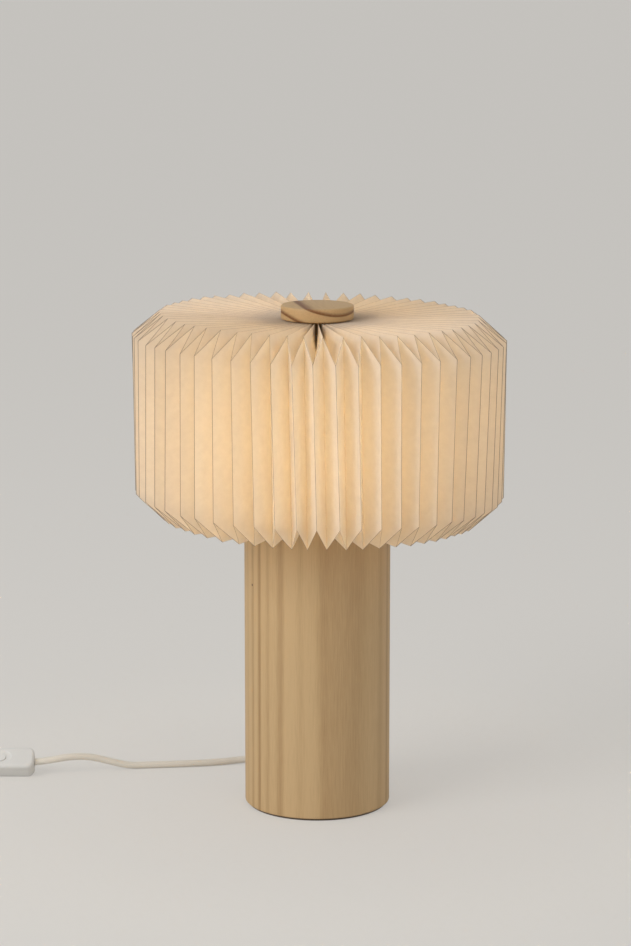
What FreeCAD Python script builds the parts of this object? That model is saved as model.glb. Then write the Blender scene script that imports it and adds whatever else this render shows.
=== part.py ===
import FreeCAD, Part

import math
import os
import re

import Sketcher

# Table lamp with a pleated paper shade: a hollow turned pine column stands on the table and carries
# a bulb and a wire harp, and the folded shade hangs on the harp's stud under a round pine knob.
# The origin is on the table, at the column's axis. +Z is up and -Y is the front. Millimetres.

V = FreeCAD.Vector
UP = V(0, 0, 1)

# ---------------------------------------------------------------- driving dimensions

SIZES = {
    # column
    "column_diameter": 138,
    "column_height": 298,
    "column_wall": 16,
    "column_edge": 1.5,
    "rebate_width": 10,
    "fit_gap": 0.2,
    "cut_margin": 1,
    "lid_thickness": 15,
    # foot
    "foot_thickness": 2,
    "foot_inset": 3,
    "foot_width": 24,
    "plate_thickness": 6,
    "plate_screw_diameter": 3.5,
    "plate_screw_reach": 10,
    "plate_screw_count": 3,
    "first_screw_turn": 60,
    # ballast
    "ballast_thickness": 12,
    "ballast_gap": 2,
    "notch_width": 30,
    "ballast_screw_diameter": 5,
    "ballast_screw_count": 3,
    "ballast_screw_inset": 17,
    "ballast_cover": 2,
    # cord and its way through the column
    "cord_diameter": 6.8,
    "cord_clearance": 0.1,
    "exit_turn": 20,
    "lead_lift": 0.6,
    "lead_bend": 30,
    "gland_wall": 2.6,
    "gland_flange": 2.5,
    "gland_flange_thickness": 3,
    "gland_seat": 1.5,
    "boot_length": 19.5,
    "boot_tip_wall": 1,
    "clamp_width": 26,
    "clamp_depth": 8,
    "clamp_cover": 2.5,
    "clamp_inset": 11,
    "clamp_screw_diameter": 3,
    "clamp_screw_spacing": 18,
    "clamp_screw_reach": 4,
    # threaded tube
    "tube_diameter": 10,
    "tube_wall": 1.4,
    "tube_stub": 4,
    "tube_proud": 1,
    "nut_width": 16,
    "nut_thickness": 5,
    "washer_diameter": 28,
    "washer_thickness": 1.5,
    # lampholder
    "holder_diameter": 40,
    "holder_wall": 1.8,
    "holder_cap_height": 16,
    "holder_cap_slope": 5,
    "holder_body_height": 28,
    "holder_lip": 3,
    "core_thickness": 7,
    "core_gap": 2,
    "sleeve_bore": 27.8,
    "sleeve_wall": 0.7,
    "sleeve_depth": 3,
    "contact_diameter": 6,
    "contact_thickness": 1.6,
    # bulb
    "bulb_diameter": 45,
    "bulb_length": 78,
    "bulb_cap_diameter": 26.4,
    "bulb_cap_wall": 0.5,
    "bulb_cap_length": 21,
    "bulb_insulator_length": 3.5,
    "bulb_tip_diameter": 9,
    "bulb_tip_length": 1.5,
    "glass_wall": 0.8,
    "neck_inset": 4,
    "stem_diameter": 7,
    "stem_disc": 1.2,
    "filament_diameter": 1.8,
    "filament_length": 24,
    "filament_ring": 12,
    "filament_count": 4,
    "first_filament_turn": 45,
    # harp
    "harp_span": 64,
    "harp_wire": 4,
    "harp_height": 118,
    "harp_corner": 28,
    "saddle_width": 16,
    "saddle_thickness": 2,
    "saddle_overhang": 8,
    "ferrule_wall": 2,
    "ferrule_height": 12,
    "stud_diameter": 6,
    "collar_diameter": 15,
    "collar_drop": 4,
    "seat_rise": 10,
    "seat_diameter": 34,
    "seat_thickness": 3,
    "rest_gap": 0.3,
    # shade
    "shade_diameter": 350,
    "pleat_count": 56,
    "strip_count": 4,
    "pleat_width": 28,
    "paper_thickness": 0.4,
    "paper_hole": 44,
    "fold_depth": 5,
    "ridge_rise": 6.3,
    "chamfer_height": 22,
    "side_height": 149,
    "flange_reach": 50.5,
    "flange_rise": 1.5,
    "spool_flange_diameter": 80,
    "spool_flange_thickness": 2.5,
    "spool_gap": 0.2,
    "hub_diameter": 40,
    "stud_clearance": 0.2,
    "thread_diameter": 1,
    # knob
    "knob_diameter": 68,
    "knob_thickness": 13,
    "knob_round": 3.5,
    "insert_diameter": 10,
    "insert_depth": 9,
    "insert_end_wall": 1,
    "stud_end_gap": 1,
    "running_gap": 0.06,
    # switch on the cord
    "switch_length": 66,
    "switch_width": 25,
    "switch_thickness": 17.5,
    "switch_wall": 2,
    "switch_end_wall": 6,
    "switch_corner": 7,
    "switch_round": 3,
    "switch_roll": 35,
    "switch_lift": 0.05,
    "dish_length": 21.6,
    "dish_width": 16.7,
    "dish_depth": 1.2,
    "button_diameter": 10,
    "button_proud": 1.2,
    "button_flange": 1.6,
    "button_flange_thickness": 1,
    "button_travel": 1.5,
    "button_gap": 0.15,
    "block_length": 34,
    "block_width": 17,
    "switch_screw_diameter": 3,
    "switch_screw_head": 5.2,
    "switch_screw_sink": 1,
    "switch_screw_reach": 11,
    "switch_screw_spacing": 24,
    "lead_stub": 15,
    # coil of stored cord
    "coil_middle": 79,
    "coil_columns": 3,
    "coil_layers": 2,
    "coil_pitch": 6.9,
    "coil_round": 3,
    # plug
    "plug_length": 36,
    "plug_shoulder": 16,
    "plug_width": 35,
    "plug_thickness": 13.7,
    "plug_back_width": 17,
    "plug_round": 3,
    "plug_boot_length": 22,
    "plug_boot_wall": 2,
    "plug_boot_tip_wall": 0.5,
    "pin_diameter": 4,
    "pin_length": 19,
    "pin_spacing": 19,
}

# Places and sizes that follow from the driving dimensions, each worked out once, in this order.
PLACES = {
    "column_radius": "column_diameter / 2",
    "bore_radius": "column_radius - column_wall",
    "rebate_radius": "bore_radius + rebate_width",
    "column_top": "foot_thickness + column_height",
    "lid_bottom": "column_top - lid_thickness",
    "plate_top": "foot_thickness + plate_thickness",
    "plate_screw_ring": "bore_radius + rebate_width / 2",
    "ballast_radius": "bore_radius - ballast_gap",
    "ballast_screw_ring": "ballast_radius - ballast_screw_inset",
    "cord_radius": "cord_diameter / 2",
    "lead_level": "plate_top + lead_lift + cord_radius",
    "lead_hole": "cord_radius + cord_clearance",
    "gland_radius": "lead_hole + gland_wall",
    "gland_flange_radius": "gland_radius + gland_flange",
    "gland_face": "column_radius - gland_seat",
    "boot_start": "gland_face + gland_flange_thickness",
    "boot_tip": "boot_start + boot_length",
    "clamp_top": "lead_level + cord_radius + clamp_cover",
    "clamp_place": "ballast_radius - clamp_inset",
    "tube_radius": "tube_diameter / 2",
    "tube_hole": "tube_radius + fit_gap",
    "washer_bottom": "lid_bottom - washer_thickness",
    "lower_nut_bottom": "washer_bottom - nut_thickness",
    "tube_bottom": "lower_nut_bottom - tube_stub",
    "saddle_top": "column_top + saddle_thickness",
    "upper_nut_bottom": "saddle_top + holder_wall",
    "tube_top": "upper_nut_bottom + nut_thickness + tube_proud",
    "holder_radius": "holder_diameter / 2",
    "holder_inner": "holder_radius - holder_wall",
    "holder_cap_top": "saddle_top + holder_cap_height",
    "holder_top": "holder_cap_top + holder_body_height",
    "core_bottom": "tube_top + core_gap",
    "core_top": "core_bottom + core_thickness",
    "contact_top": "core_top + contact_thickness",
    "bulb_bottom": "contact_top + rest_gap",
    "insulator_bottom": "bulb_bottom + bulb_tip_length",
    "bulb_cap_bottom": "insulator_bottom + bulb_insulator_length",
    "bulb_cap_top": "bulb_cap_bottom + bulb_cap_length",
    "bulb_cap_radius": "bulb_cap_diameter / 2",
    "bulb_cap_inner": "bulb_cap_radius - bulb_cap_wall",
    "globe_radius": "bulb_diameter / 2",
    "globe_centre": "bulb_bottom + bulb_length - globe_radius",
    "neck_bottom": "bulb_cap_top - neck_inset",
    "neck_height": "globe_centre - globe_radius * 0.75 - neck_bottom",
    "neck_top_radius": "globe_radius * 0.66",
    "neck_flare": "(neck_top_radius - bulb_cap_inner) / (neck_height - neck_inset)",
    "neck_radius": "bulb_cap_inner - neck_inset * neck_flare",
    "stem_top": "globe_centre - filament_length / 2 - stem_disc",
    "harp_half": "harp_span / 2",
    "harp_top": "saddle_top + harp_height",
    "collar_bottom": "harp_top - collar_drop",
    "seat_level": "harp_top + seat_rise",
    "seat_top": "seat_level - rest_gap",
    "seat_bottom": "seat_top - seat_thickness",
    "stud_radius": "stud_diameter / 2",
    "half_step": "180 / pleat_count",
    "outer_radius": "shade_diameter / 2",
    "pleat_reach": "sqrt(pleat_width ^ 2 - (outer_radius * sin(half_step * 1deg)) ^ 2)",
    "rim_radius": "outer_radius * cos(half_step * 1deg) - pleat_reach",
    "hole_radius": "paper_hole / 2",
    "hole_step": "pi * hole_radius / pleat_count",
    "spool_flange_top": "seat_level + spool_flange_thickness",
    "valley_level": "spool_flange_top + spool_gap + fold_depth",
    "ridge_level": "valley_level + sqrt(pleat_width ^ 2 - hole_step ^ 2)",
    "rim_level": "ridge_level + ridge_rise",
    "hub_top": "ridge_level - rest_gap",
    "thread_level": "(valley_level + ridge_level) / 2",
    "thread_ring": "hub_diameter / 2 + thread_diameter / 2",
    "knob_radius": "knob_diameter / 2",
    "ridge_slope": "ridge_rise / (rim_radius - hole_radius)",
    "knob_bottom": "ridge_level + ridge_slope * (knob_radius - hole_radius) + rest_gap",
    "knob_top": "knob_bottom + knob_thickness",
    "insert_radius": "insert_diameter / 2",
    "insert_top": "knob_bottom + insert_depth",
    "insert_bore_top": "insert_top - insert_end_wall",
    "stud_top": "insert_bore_top - stud_end_gap",
    "half_thickness": "switch_thickness / 2",
    "rolled_width": "(switch_width / 2 - switch_round) * sin(switch_roll * 1deg)",
    "rolled_thickness": "(half_thickness - switch_round) * cos(switch_roll * 1deg)",
    "switch_level": "rolled_width + rolled_thickness + switch_round + switch_lift",
    "dish_floor": "half_thickness - dish_depth",
    "switch_ceiling": "half_thickness - switch_wall",
    "button_radius": "button_diameter / 2",
    "button_top": "dish_floor + button_proud",
    "button_bottom": "switch_ceiling - rest_gap - button_flange_thickness",
    "block_top": "button_bottom - button_travel - rest_gap",
    "coil_half": "coil_pitch * (coil_columns - 1) / 2 + cord_radius",
    "coil_height": "coil_pitch * (coil_layers - 1) + cord_diameter",
    "plug_level": "plug_thickness / 2",
}

# The free cord's route, chosen by hand: over the table to the switch, from the switch into the coil
# and from the coil to the plug. Its first and last points are worked out from the pieces it meets.
SWITCH_PLACE = (-312.0, 81.0)
COIL_PLACE = (-425.0, 42.0)
PLUG_PLACE = (-472.5, -32.0)
TO_SWITCH = [
    (-38.0, 103.6, 10.6),
    (-53.0, 115.6, 6.8),
    (-73.5, 120.4, 4.4),
    (-99.5, 112.6, 3.5),
    (-134.0, 107.2, 3.5),
    (-168.0, 103.6, 3.5),
    (-187.0, 100.2, 3.9),
    (-205.0, 97.2, 9.0),
    (-225.0, 92.4, 15.6),
    (-245.0, 86.6, 17.2),
    (-262.0, 82.0, 15.0),
]
TO_COIL = [(-362.0, 81.3, 13.0), (-383.0, 83.0, 11.6), (-404.0, 84.9, 10.4)]
TO_PLUG = [(-471.4, 30.0, 3.5), (-472.8, 10.0, 3.9)]

document = FreeCAD.newDocument("pleated_paper_lamp")
nodes = []

# ---------------------------------------------------------------- the two sheets


def formula(text):
    """The formula with each size or place written as a reference to its sheet."""

    def reference(found):
        word = found.group()
        if word in SIZES:
            return "sizes." + word
        return "places." + word if word in PLACES else word

    return re.sub(r"(?<![0-9])[a-z][a-z_]*", reference, str(text))


def filled_sheet(label, cells):
    """A spreadsheet with a name and a value on each row; the name is the value's alias."""
    sheet = document.addObject("Spreadsheet::Sheet", label)
    for row, (name, text) in enumerate(cells.items(), start=1):
        sheet.set(f"A{row}", name)
        sheet.set(f"B{row}", str(text))
        sheet.setAlias(f"B{row}", name)
    document.recompute()
    return sheet


sizes = filled_sheet("sizes", SIZES)
places = filled_sheet(
    "places", {name: "=" + formula(text).replace("places.", "") for name, text in PLACES.items()}
)


def size(name):
    """A size or place as a number."""
    return float(getattr(sizes if name in SIZES else places, name))


# ---------------------------------------------------------------- ways of making a piece


def keep(piece, label):
    """Name a finished piece and put it on the list of nodes."""
    piece.Label = label
    nodes.append(piece)
    return piece


def moved(piece, at):
    """Bind a piece's place to three formulas."""
    for letter, text in zip("xyz", at):
        piece.setExpression(f"Placement.Base.{letter}", formula(text))
    return piece


def cylinder(name, radius, height, at=("0", "0", "0"), axis=UP):
    """A cylinder that starts at a point and runs along an axis."""
    piece = document.addObject("Part::Cylinder", name)
    piece.Placement = FreeCAD.Placement(V(), FreeCAD.Rotation(UP, axis))
    piece.setExpression("Radius", formula(radius))
    piece.setExpression("Height", formula(height))
    return moved(piece, at)


def cone(name, low_radius, high_radius, height, at=("0", "0", "0"), axis=UP):
    """A cone frustum that starts at a point and runs along an axis."""
    piece = document.addObject("Part::Cone", name)
    piece.Placement = FreeCAD.Placement(V(), FreeCAD.Rotation(UP, axis))
    piece.setExpression("Radius1", formula(low_radius))
    piece.setExpression("Radius2", formula(high_radius))
    piece.setExpression("Height", formula(height))
    return moved(piece, at)


def box(name, length, width, height, at):
    """A box, with its lowest corner at a point."""
    piece = document.addObject("Part::Box", name)
    for side, text in zip(("Length", "Width", "Height"), (length, width, height)):
        piece.setExpression(side, formula(text))
    return moved(piece, at)


def cut(name, base, *tools):
    """A piece less its tools, one after another."""
    for number, tool in enumerate(tools):
        piece = document.addObject("Part::Cut", f"{name}_less_{number}")
        piece.Base = base
        piece.Tool = tool
        base = piece
    return base


def joined(name, *pieces):
    """Pieces joined into one solid."""
    piece = document.addObject("Part::MultiFuse", name)
    piece.Shapes = list(pieces)
    return piece


def group(name, *pieces):
    """Separate solids kept together as one piece."""
    piece = document.addObject("Part::Compound", name)
    piece.Links = list(pieces)
    return piece


def around(name, piece, count, first_turn):
    """Copies of a piece, evenly about Z."""
    number = int(size(count))
    copies = []
    for i in range(number):
        copy = group(f"{name}_{i}", piece)
        turn = size(first_turn) + 360 * i / number
        copy.Placement = FreeCAD.Placement(V(), FreeCAD.Rotation(UP, turn))
        copies.append(copy)
    return group(name, *copies)


def at_exit(name, *pieces):
    """Pieces made towards +Y, turned about Z to where the cord leaves the column."""
    piece = group(name, *pieces)
    piece.Placement = FreeCAD.Placement(V(), FreeCAD.Rotation(UP, 10))
    piece.setExpression("Placement.Rotation.Angle", formula("exit_turn"))
    return piece


def sketch_on(body, role, name, offset="0"):
    """An empty sketch on one of the body's origin planes, or parallel to it."""
    sketch = body.newObject("Sketcher::SketchObject", name)
    plane = next(f for f in body.Origin.OriginFeatures if f.Role == role)
    sketch.AttachmentSupport = [(plane, "")]
    sketch.MapMode = "FlatFace"
    sketch.setExpression("AttachmentOffset.Base.z", formula(offset))
    return sketch


def bound(sketch, constraint, text):
    """Add a constraint whose value is a formula."""
    number = sketch.addConstraint(constraint)
    sketch.setExpression(f"Constraints[{number}]", formula(text))


def outline_in(sketch, corners):
    """A closed outline of straight lines; both coordinates of each corner are formulas."""
    count = len(corners)
    turn = 2 * math.pi / count
    middle, reach = size("column_diameter") / 2, size("bulb_diameter")
    rough = [V(middle + reach * math.cos(turn * i), middle + reach * math.sin(turn * i), 0)
             for i in range(count)]
    for i in range(count):
        sketch.addGeometry(Part.LineSegment(rough[i], rough[(i + 1) % count]), False)
    for i in range(count):
        sketch.addConstraint(Sketcher.Constraint("Coincident", i, 2, (i + 1) % count, 1))
    for i, (across, along) in enumerate(corners):
        bound(sketch, Sketcher.Constraint("DistanceX", -1, 1, i, 1, rough[i].x), across)
        bound(sketch, Sketcher.Constraint("DistanceY", -1, 1, i, 1, rough[i].y), along)


def rectangle(length, width):
    """The corners of a rectangle about the origin."""
    x, y = f"({length}) / 2", f"({width}) / 2"
    return [(f"-{x}", f"-{y}"), (x, f"-{y}"), (x, y), (f"-{x}", y)]


def ring(inner, outer, low, high):
    """The corners of a plain ring's section."""
    return [(inner, low), (outer, low), (outer, high), (inner, high)]


def turned(name, outline):
    """A body turned about Z. The outline's corners are (radius, height) formulas."""
    body = document.addObject("PartDesign::Body", name)
    sketch = sketch_on(body, "XZ_Plane", name + "_outline")
    outline_in(sketch, outline)
    turn = body.newObject("PartDesign::Revolution", name + "_turn")
    turn.Profile = sketch
    turn.ReferenceAxis = (sketch, ["V_Axis"])
    turn.Angle = 360
    document.recompute()
    return body


def pad(body, sketch, name, length, both_ways=False):
    """Raise a sketch into a solid."""
    piece = body.newObject("PartDesign::Pad", name)
    piece.Profile = sketch
    piece.Midplane = both_ways
    piece.setExpression("Length", formula(length))
    document.recompute()
    return piece


def pocket(body, sketch, name, depth, reverse=False):
    """Cut a sketch into the body, and see that it takes something away."""
    before = body.Shape.Volume
    piece = body.newObject("PartDesign::Pocket", name)
    piece.Profile = sketch
    piece.Reversed = reverse
    piece.setExpression("Length", formula(depth))
    document.recompute()
    if piece.Shape.Volume > before - 1:
        raise RuntimeError(f"{name} cuts nothing")
    return piece


def rounded(body, name, radius, chosen):
    """Round the chosen edges of the body."""
    names = [f"Edge{i}" for i, edge in enumerate(body.Shape.Edges, start=1) if chosen(edge)]
    if not names:
        raise RuntimeError(f"{name} finds no edge")
    base = body.Tip
    fillet = body.newObject("PartDesign::Fillet", name)
    fillet.Base = (base, names)
    fillet.setExpression("Radius", formula(radius))
    document.recompute()
    return fillet


def at_level(level, radius=None):
    """A test for an edge that lies flat at that level, and is a circle of that radius if one is given."""

    def test(edge):
        extent = edge.BoundBox
        flat = abs(extent.ZMin - level) < 1e-4 and abs(extent.ZMax - level) < 1e-4
        return flat and (radius is None or abs(edge.Curve.Radius - radius) < 1e-4)

    return test


def upright(edge):
    """A test for an edge that runs along Z."""
    extent = edge.BoundBox
    return extent.ZLength > 1 and extent.XLength < 1e-4 and extent.YLength < 1e-4


def fixed(name, shape):
    """A piece whose shape is made from numbers read from the sheets."""
    piece = document.addObject("Part::Feature", name)
    piece.Shape = shape
    return piece


def rounded_path(points, radius=None):
    """Straight runs and the arcs between them; without a radius, each arc is as large as fits."""
    edges = []
    radii = []
    start = points[0]
    for before, corner, after in zip(points, points[1:], points[2:]):
        back = (before - corner).normalize()
        ahead = (after - corner).normalize()
        half_turn = (math.pi - back.getAngle(ahead)) / 2
        reach = 0.45 * min((before - corner).Length, (after - corner).Length)
        bend = radius or reach / math.tan(half_turn)
        reach = bend * math.tan(half_turn)
        middle = corner + (back + ahead).normalize() * (bend / math.cos(half_turn) - bend)
        edges.append(Part.LineSegment(start, corner + back * reach).toShape())
        edges.append(Part.Arc(corner + back * reach, middle, corner + ahead * reach).toShape())
        start = corner + ahead * reach
        radii.append(bend)
    edges.append(Part.LineSegment(start, points[-1]).toShape())
    return Part.Wire(edges), radii


def bar(name, places_on_route, diameter, radius=None):
    """A round bar along a route, its volume compared with its section times its length."""
    points = [V(*place) for place in places_on_route]
    path, radii = rounded_path(points, radius)
    section = Part.Wire([Part.Circle(points[0], points[1] - points[0], diameter / 2).toShape()])
    shape = path.makePipeShell([section], True, False)
    expected = math.pi * diameter ** 2 / 4 * path.Length
    if abs(shape.Volume / expected - 1) > 0.02:
        raise RuntimeError(f"{name}: the bar's volume is off")
    print(f"{name}: {path.Length:.0f} mm long, bends {[round(bend) for bend in radii]} mm")
    return fixed(name, shape)


# ---------------------------------------------------------------- column and foot


def screw(name, diameter, length, at):
    """A countersunk screw that points up, its head's flat face at a place."""
    shank = cylinder(name + "_shank", f"{diameter} / 2", length, at)
    head = cone(name + "_head", diameter, f"{diameter} / 2", f"{diameter} / 2", at)
    return joined(name, head, shank)


def foot_screws():
    """The screws that hold the bottom plate, and those that hold the ballast on it."""
    plate_screw = screw("plate_screw", "plate_screw_diameter", "plate_thickness + plate_screw_reach",
                        ("0", "plate_screw_ring", "foot_thickness"))
    ballast_screw = screw("ballast_screw", "ballast_screw_diameter",
                          "plate_thickness + ballast_thickness - ballast_cover",
                          ("0", "ballast_screw_ring", "foot_thickness"))
    plate_set = around("plate_screw_set", plate_screw, "plate_screw_count", "first_screw_turn")
    ballast_set = around("ballast_screw_set", ballast_screw, "ballast_screw_count", "first_screw_turn")
    return (keep(at_exit("plate_screws", plate_set), "plate_screws"),
            keep(at_exit("ballast_screws", ballast_set), "ballast_screws"))


def column(screws):
    """The hollow pine column: a rebate for the bottom plate, and the gland's hole and flat seat."""
    body = turned("turned_column", [
        ("rebate_radius", "foot_thickness"),
        ("column_radius", "foot_thickness"),
        ("column_radius", "column_top"),
        ("bore_radius", "column_top"),
        ("bore_radius", "plate_top"),
        ("rebate_radius", "plate_top"),
    ])
    bottom_edge = at_level(size("foot_thickness"), size("column_radius"))
    top_edge = at_level(size("column_top"), size("column_radius"))
    rounded(body, "column_edges", "column_edge", lambda edge: bottom_edge(edge) or top_edge(edge))
    back = V(0, 1, 0)
    hole = cylinder("gland_hole", "gland_radius", "column_radius", ("0", "0", "lead_level"), back)
    seat = cylinder("gland_flat", "gland_flange_radius + fit_gap", "gland_flange_thickness",
                    ("0", "gland_face", "lead_level"), back)
    keep(cut("column", body, at_exit("gland_cuts", joined("gland_cut", hole, seat)), screws), "column")


def foot(plate_screws, ballast_screws, clamp_screws):
    """The bottom plate, the felt ring that the lamp stands on, and the cast ballast with its notch."""
    plate = turned("plate_blank", ring("0", "rebate_radius - fit_gap", "foot_thickness", "plate_top"))
    keep(cut("bottom_plate", plate, plate_screws, ballast_screws, clamp_screws), "bottom_plate")
    felt = turned("felt_ring", ring("column_radius - foot_inset - foot_width",
                                    "column_radius - foot_inset", "0", "foot_thickness"))
    keep(felt, "felt_ring")
    disc = turned("ballast_blank", ring("0", "ballast_radius", "plate_top",
                                        "plate_top + ballast_thickness"))
    notch = box("notch", "notch_width", "ballast_radius + cut_margin",
                "ballast_thickness + 2 * cut_margin",
                ("-notch_width / 2", "0", "plate_top - cut_margin"))
    keep(cut("ballast", disc, at_exit("notch_at_exit", notch), ballast_screws), "ballast")


def cord_entry():
    """The gland with its tapered boot, the cord inside the lamp, and the clamp that holds it."""
    back = V(0, 1, 0)
    sleeve_start = "rebate_radius + fit_gap"
    sleeve = cylinder("gland_sleeve", "gland_radius", f"boot_start - ({sleeve_start})",
                      ("0", sleeve_start, "lead_level"), back)
    flange = cylinder("gland_flange_ring", "gland_flange_radius", "gland_flange_thickness",
                      ("0", "gland_face", "lead_level"), back)
    boot = cone("gland_boot", "gland_radius", "lead_hole + boot_tip_wall", "boot_length",
                ("0", "boot_start", "lead_level"), back)
    bore = cylinder("gland_bore", "lead_hole", "boot_tip", ("0", "cut_margin", "lead_level"), back)
    gland = cut("cord_gland", joined("gland_blank", sleeve, flange, boot), bore)
    keep(at_exit("gland", gland), "cord_gland")

    level = size("lead_level")
    lead = bar("lead", [(0, size("boot_tip"), level), (0, 0, level), (0, 0, size("tube_top"))],
               size("cord_diameter"), size("lead_bend"))
    keep(at_exit("inner_lead", lead), "inner_lead")

    saddle = box("clamp_blank", "clamp_width", "clamp_depth", "clamp_top - plate_top",
                 ("-clamp_width / 2", "clamp_place - clamp_depth / 2", "plate_top"))
    past = "clamp_place - clamp_depth / 2 - cut_margin"
    through = "clamp_depth + 2 * cut_margin"
    groove = cylinder("clamp_groove", "lead_hole", through, ("0", past, "lead_level"), back)
    slot = box("clamp_slot", "2 * lead_hole", through, "lead_level - plate_top + cut_margin",
               ("-lead_hole", past, "plate_top - cut_margin"))
    screws = []
    for side in (-1, 1):
        at = (f"{side} * clamp_screw_spacing / 2", "clamp_place", "plate_top - clamp_screw_reach")
        shank = cylinder("clamp_shank", "clamp_screw_diameter / 2",
                         "clamp_top - plate_top + clamp_screw_reach", at)
        head = cylinder("clamp_head", "clamp_screw_diameter", "clamp_screw_diameter / 2",
                        (at[0], at[1], "clamp_top"))
        screws.append(joined("clamp_screw", shank, head))
    keep(at_exit("clamp", cut("cord_clamp", saddle, groove, slot, *screws)), "cord_clamp")
    return keep(at_exit("clamp_screws", *screws), "clamp_screws")


def nut(name, bottom):
    """A hexagon nut on the threaded tube."""
    blank = document.addObject("Part::Prism", name + "_blank")
    blank.Polygon = 6
    blank.setExpression("Circumradius", formula("nut_width / 2"))
    blank.setExpression("Height", formula("nut_thickness"))
    moved(blank, ("0", "0", bottom))
    hole = cylinder(name + "_hole", "tube_radius", "nut_thickness + 2 * cut_margin",
                    ("0", "0", bottom + " - cut_margin"))
    return keep(cut(name, blank, hole), name)


def column_lid():
    """The column's round lid and the threaded tube, washer and nuts that clamp the lampholder to it."""
    keep(turned("column_lid", ring("tube_hole", "bore_radius - fit_gap", "lid_bottom", "column_top")),
         "column_lid")
    keep(turned("threaded_tube", ring("tube_radius - tube_wall", "tube_radius", "tube_bottom",
                                      "tube_top")), "threaded_tube")
    keep(turned("tube_washer", ring("tube_hole", "washer_diameter / 2", "washer_bottom",
                                    "lid_bottom")), "tube_washer")
    nut("lower_nut", "lower_nut_bottom")
    nut("upper_nut", "upper_nut_bottom")


# ---------------------------------------------------------------- lampholder and bulb


def lampholder():
    """The lampholder's cap, body, ceramic core, threaded sleeve and centre contact."""
    slope = "holder_cap_slope"
    cap = turned("holder_cap", [
        ("tube_hole", "saddle_top"),
        (f"holder_radius - {slope}", "saddle_top"),
        ("holder_radius", f"saddle_top + {slope}"),
        ("holder_radius", "holder_cap_top"),
        ("holder_inner", "holder_cap_top"),
        ("holder_inner", f"saddle_top + {slope} + holder_wall / 2"),
        (f"holder_inner - {slope} + holder_wall / 2", "upper_nut_bottom"),
        ("tube_hole", "upper_nut_bottom"),
    ])
    keep(cap, "holder_cap")
    body = turned("holder_body", [
        ("holder_inner", "holder_cap_top"),
        ("holder_radius", "holder_cap_top"),
        ("holder_radius", "holder_top"),
        ("holder_inner - holder_lip", "holder_top"),
        ("holder_inner - holder_lip", "holder_top - holder_wall"),
        ("holder_inner", "holder_top - holder_wall"),
    ])
    keep(body, "holder_body")
    keep(turned("holder_core", ring("0", "holder_inner", "core_bottom", "core_top")), "holder_core")
    keep(turned("thread_sleeve", ring("sleeve_bore / 2", "sleeve_bore / 2 + sleeve_wall", "core_top",
                                      "holder_top - sleeve_depth")), "thread_sleeve")
    keep(turned("centre_contact", ring("0", "contact_diameter / 2", "core_top", "contact_top")),
         "centre_contact")


def glass_envelope(name, inset):
    """The bulb's globe and neck as one solid, each smaller by the inset."""
    globe = document.addObject("Part::Sphere", name + "_globe")
    globe.setExpression("Radius", formula(f"globe_radius - {inset}"))
    moved(globe, ("0", "0", "globe_centre"))
    neck = cone(name + "_neck", f"neck_radius - {inset}", f"neck_top_radius - {inset}",
                "neck_height", ("0", "0", "neck_bottom"))
    return joined(name, globe, neck)


def bulb():
    """The bulb: glass, threaded cap, insulator, tip, and the stem that carries the filaments."""
    glass = cut("bulb_glass", glass_envelope("glass_outside", "0"),
                glass_envelope("glass_inside", "glass_wall"))
    keep(glass, "bulb_glass")
    keep(turned("bulb_cap", ring("bulb_cap_inner", "bulb_cap_radius", "bulb_cap_bottom",
                                 "bulb_cap_top")), "bulb_cap")
    keep(turned("bulb_insulator", [
        ("0", "insulator_bottom"),
        ("bulb_tip_diameter / 2", "insulator_bottom"),
        ("bulb_cap_radius", "bulb_cap_bottom"),
        ("0", "bulb_cap_bottom"),
    ]), "bulb_insulator")
    keep(turned("bulb_tip", ring("0", "bulb_tip_diameter / 2", "bulb_bottom", "insulator_bottom")),
         "bulb_tip")
    keep(turned("bulb_stem", [
        ("0", "neck_bottom"),
        ("neck_radius - glass_wall", "neck_bottom"),
        ("neck_radius - glass_wall", "neck_bottom + stem_disc"),
        ("stem_diameter / 2", "neck_bottom + stem_disc"),
        ("stem_diameter / 2", "stem_top - stem_disc"),
        ("filament_ring / 2 + filament_diameter / 2", "stem_top - stem_disc"),
        ("filament_ring / 2 + filament_diameter / 2", "stem_top"),
        ("0", "stem_top"),
    ]), "bulb_stem")
    filament = cylinder("filament", "filament_diameter / 2", "filament_length",
                        ("filament_ring / 2", "0", "stem_top"))
    keep(around("filaments", filament, "filament_count", "first_filament_turn"), "filaments")


# ---------------------------------------------------------------- harp


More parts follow.
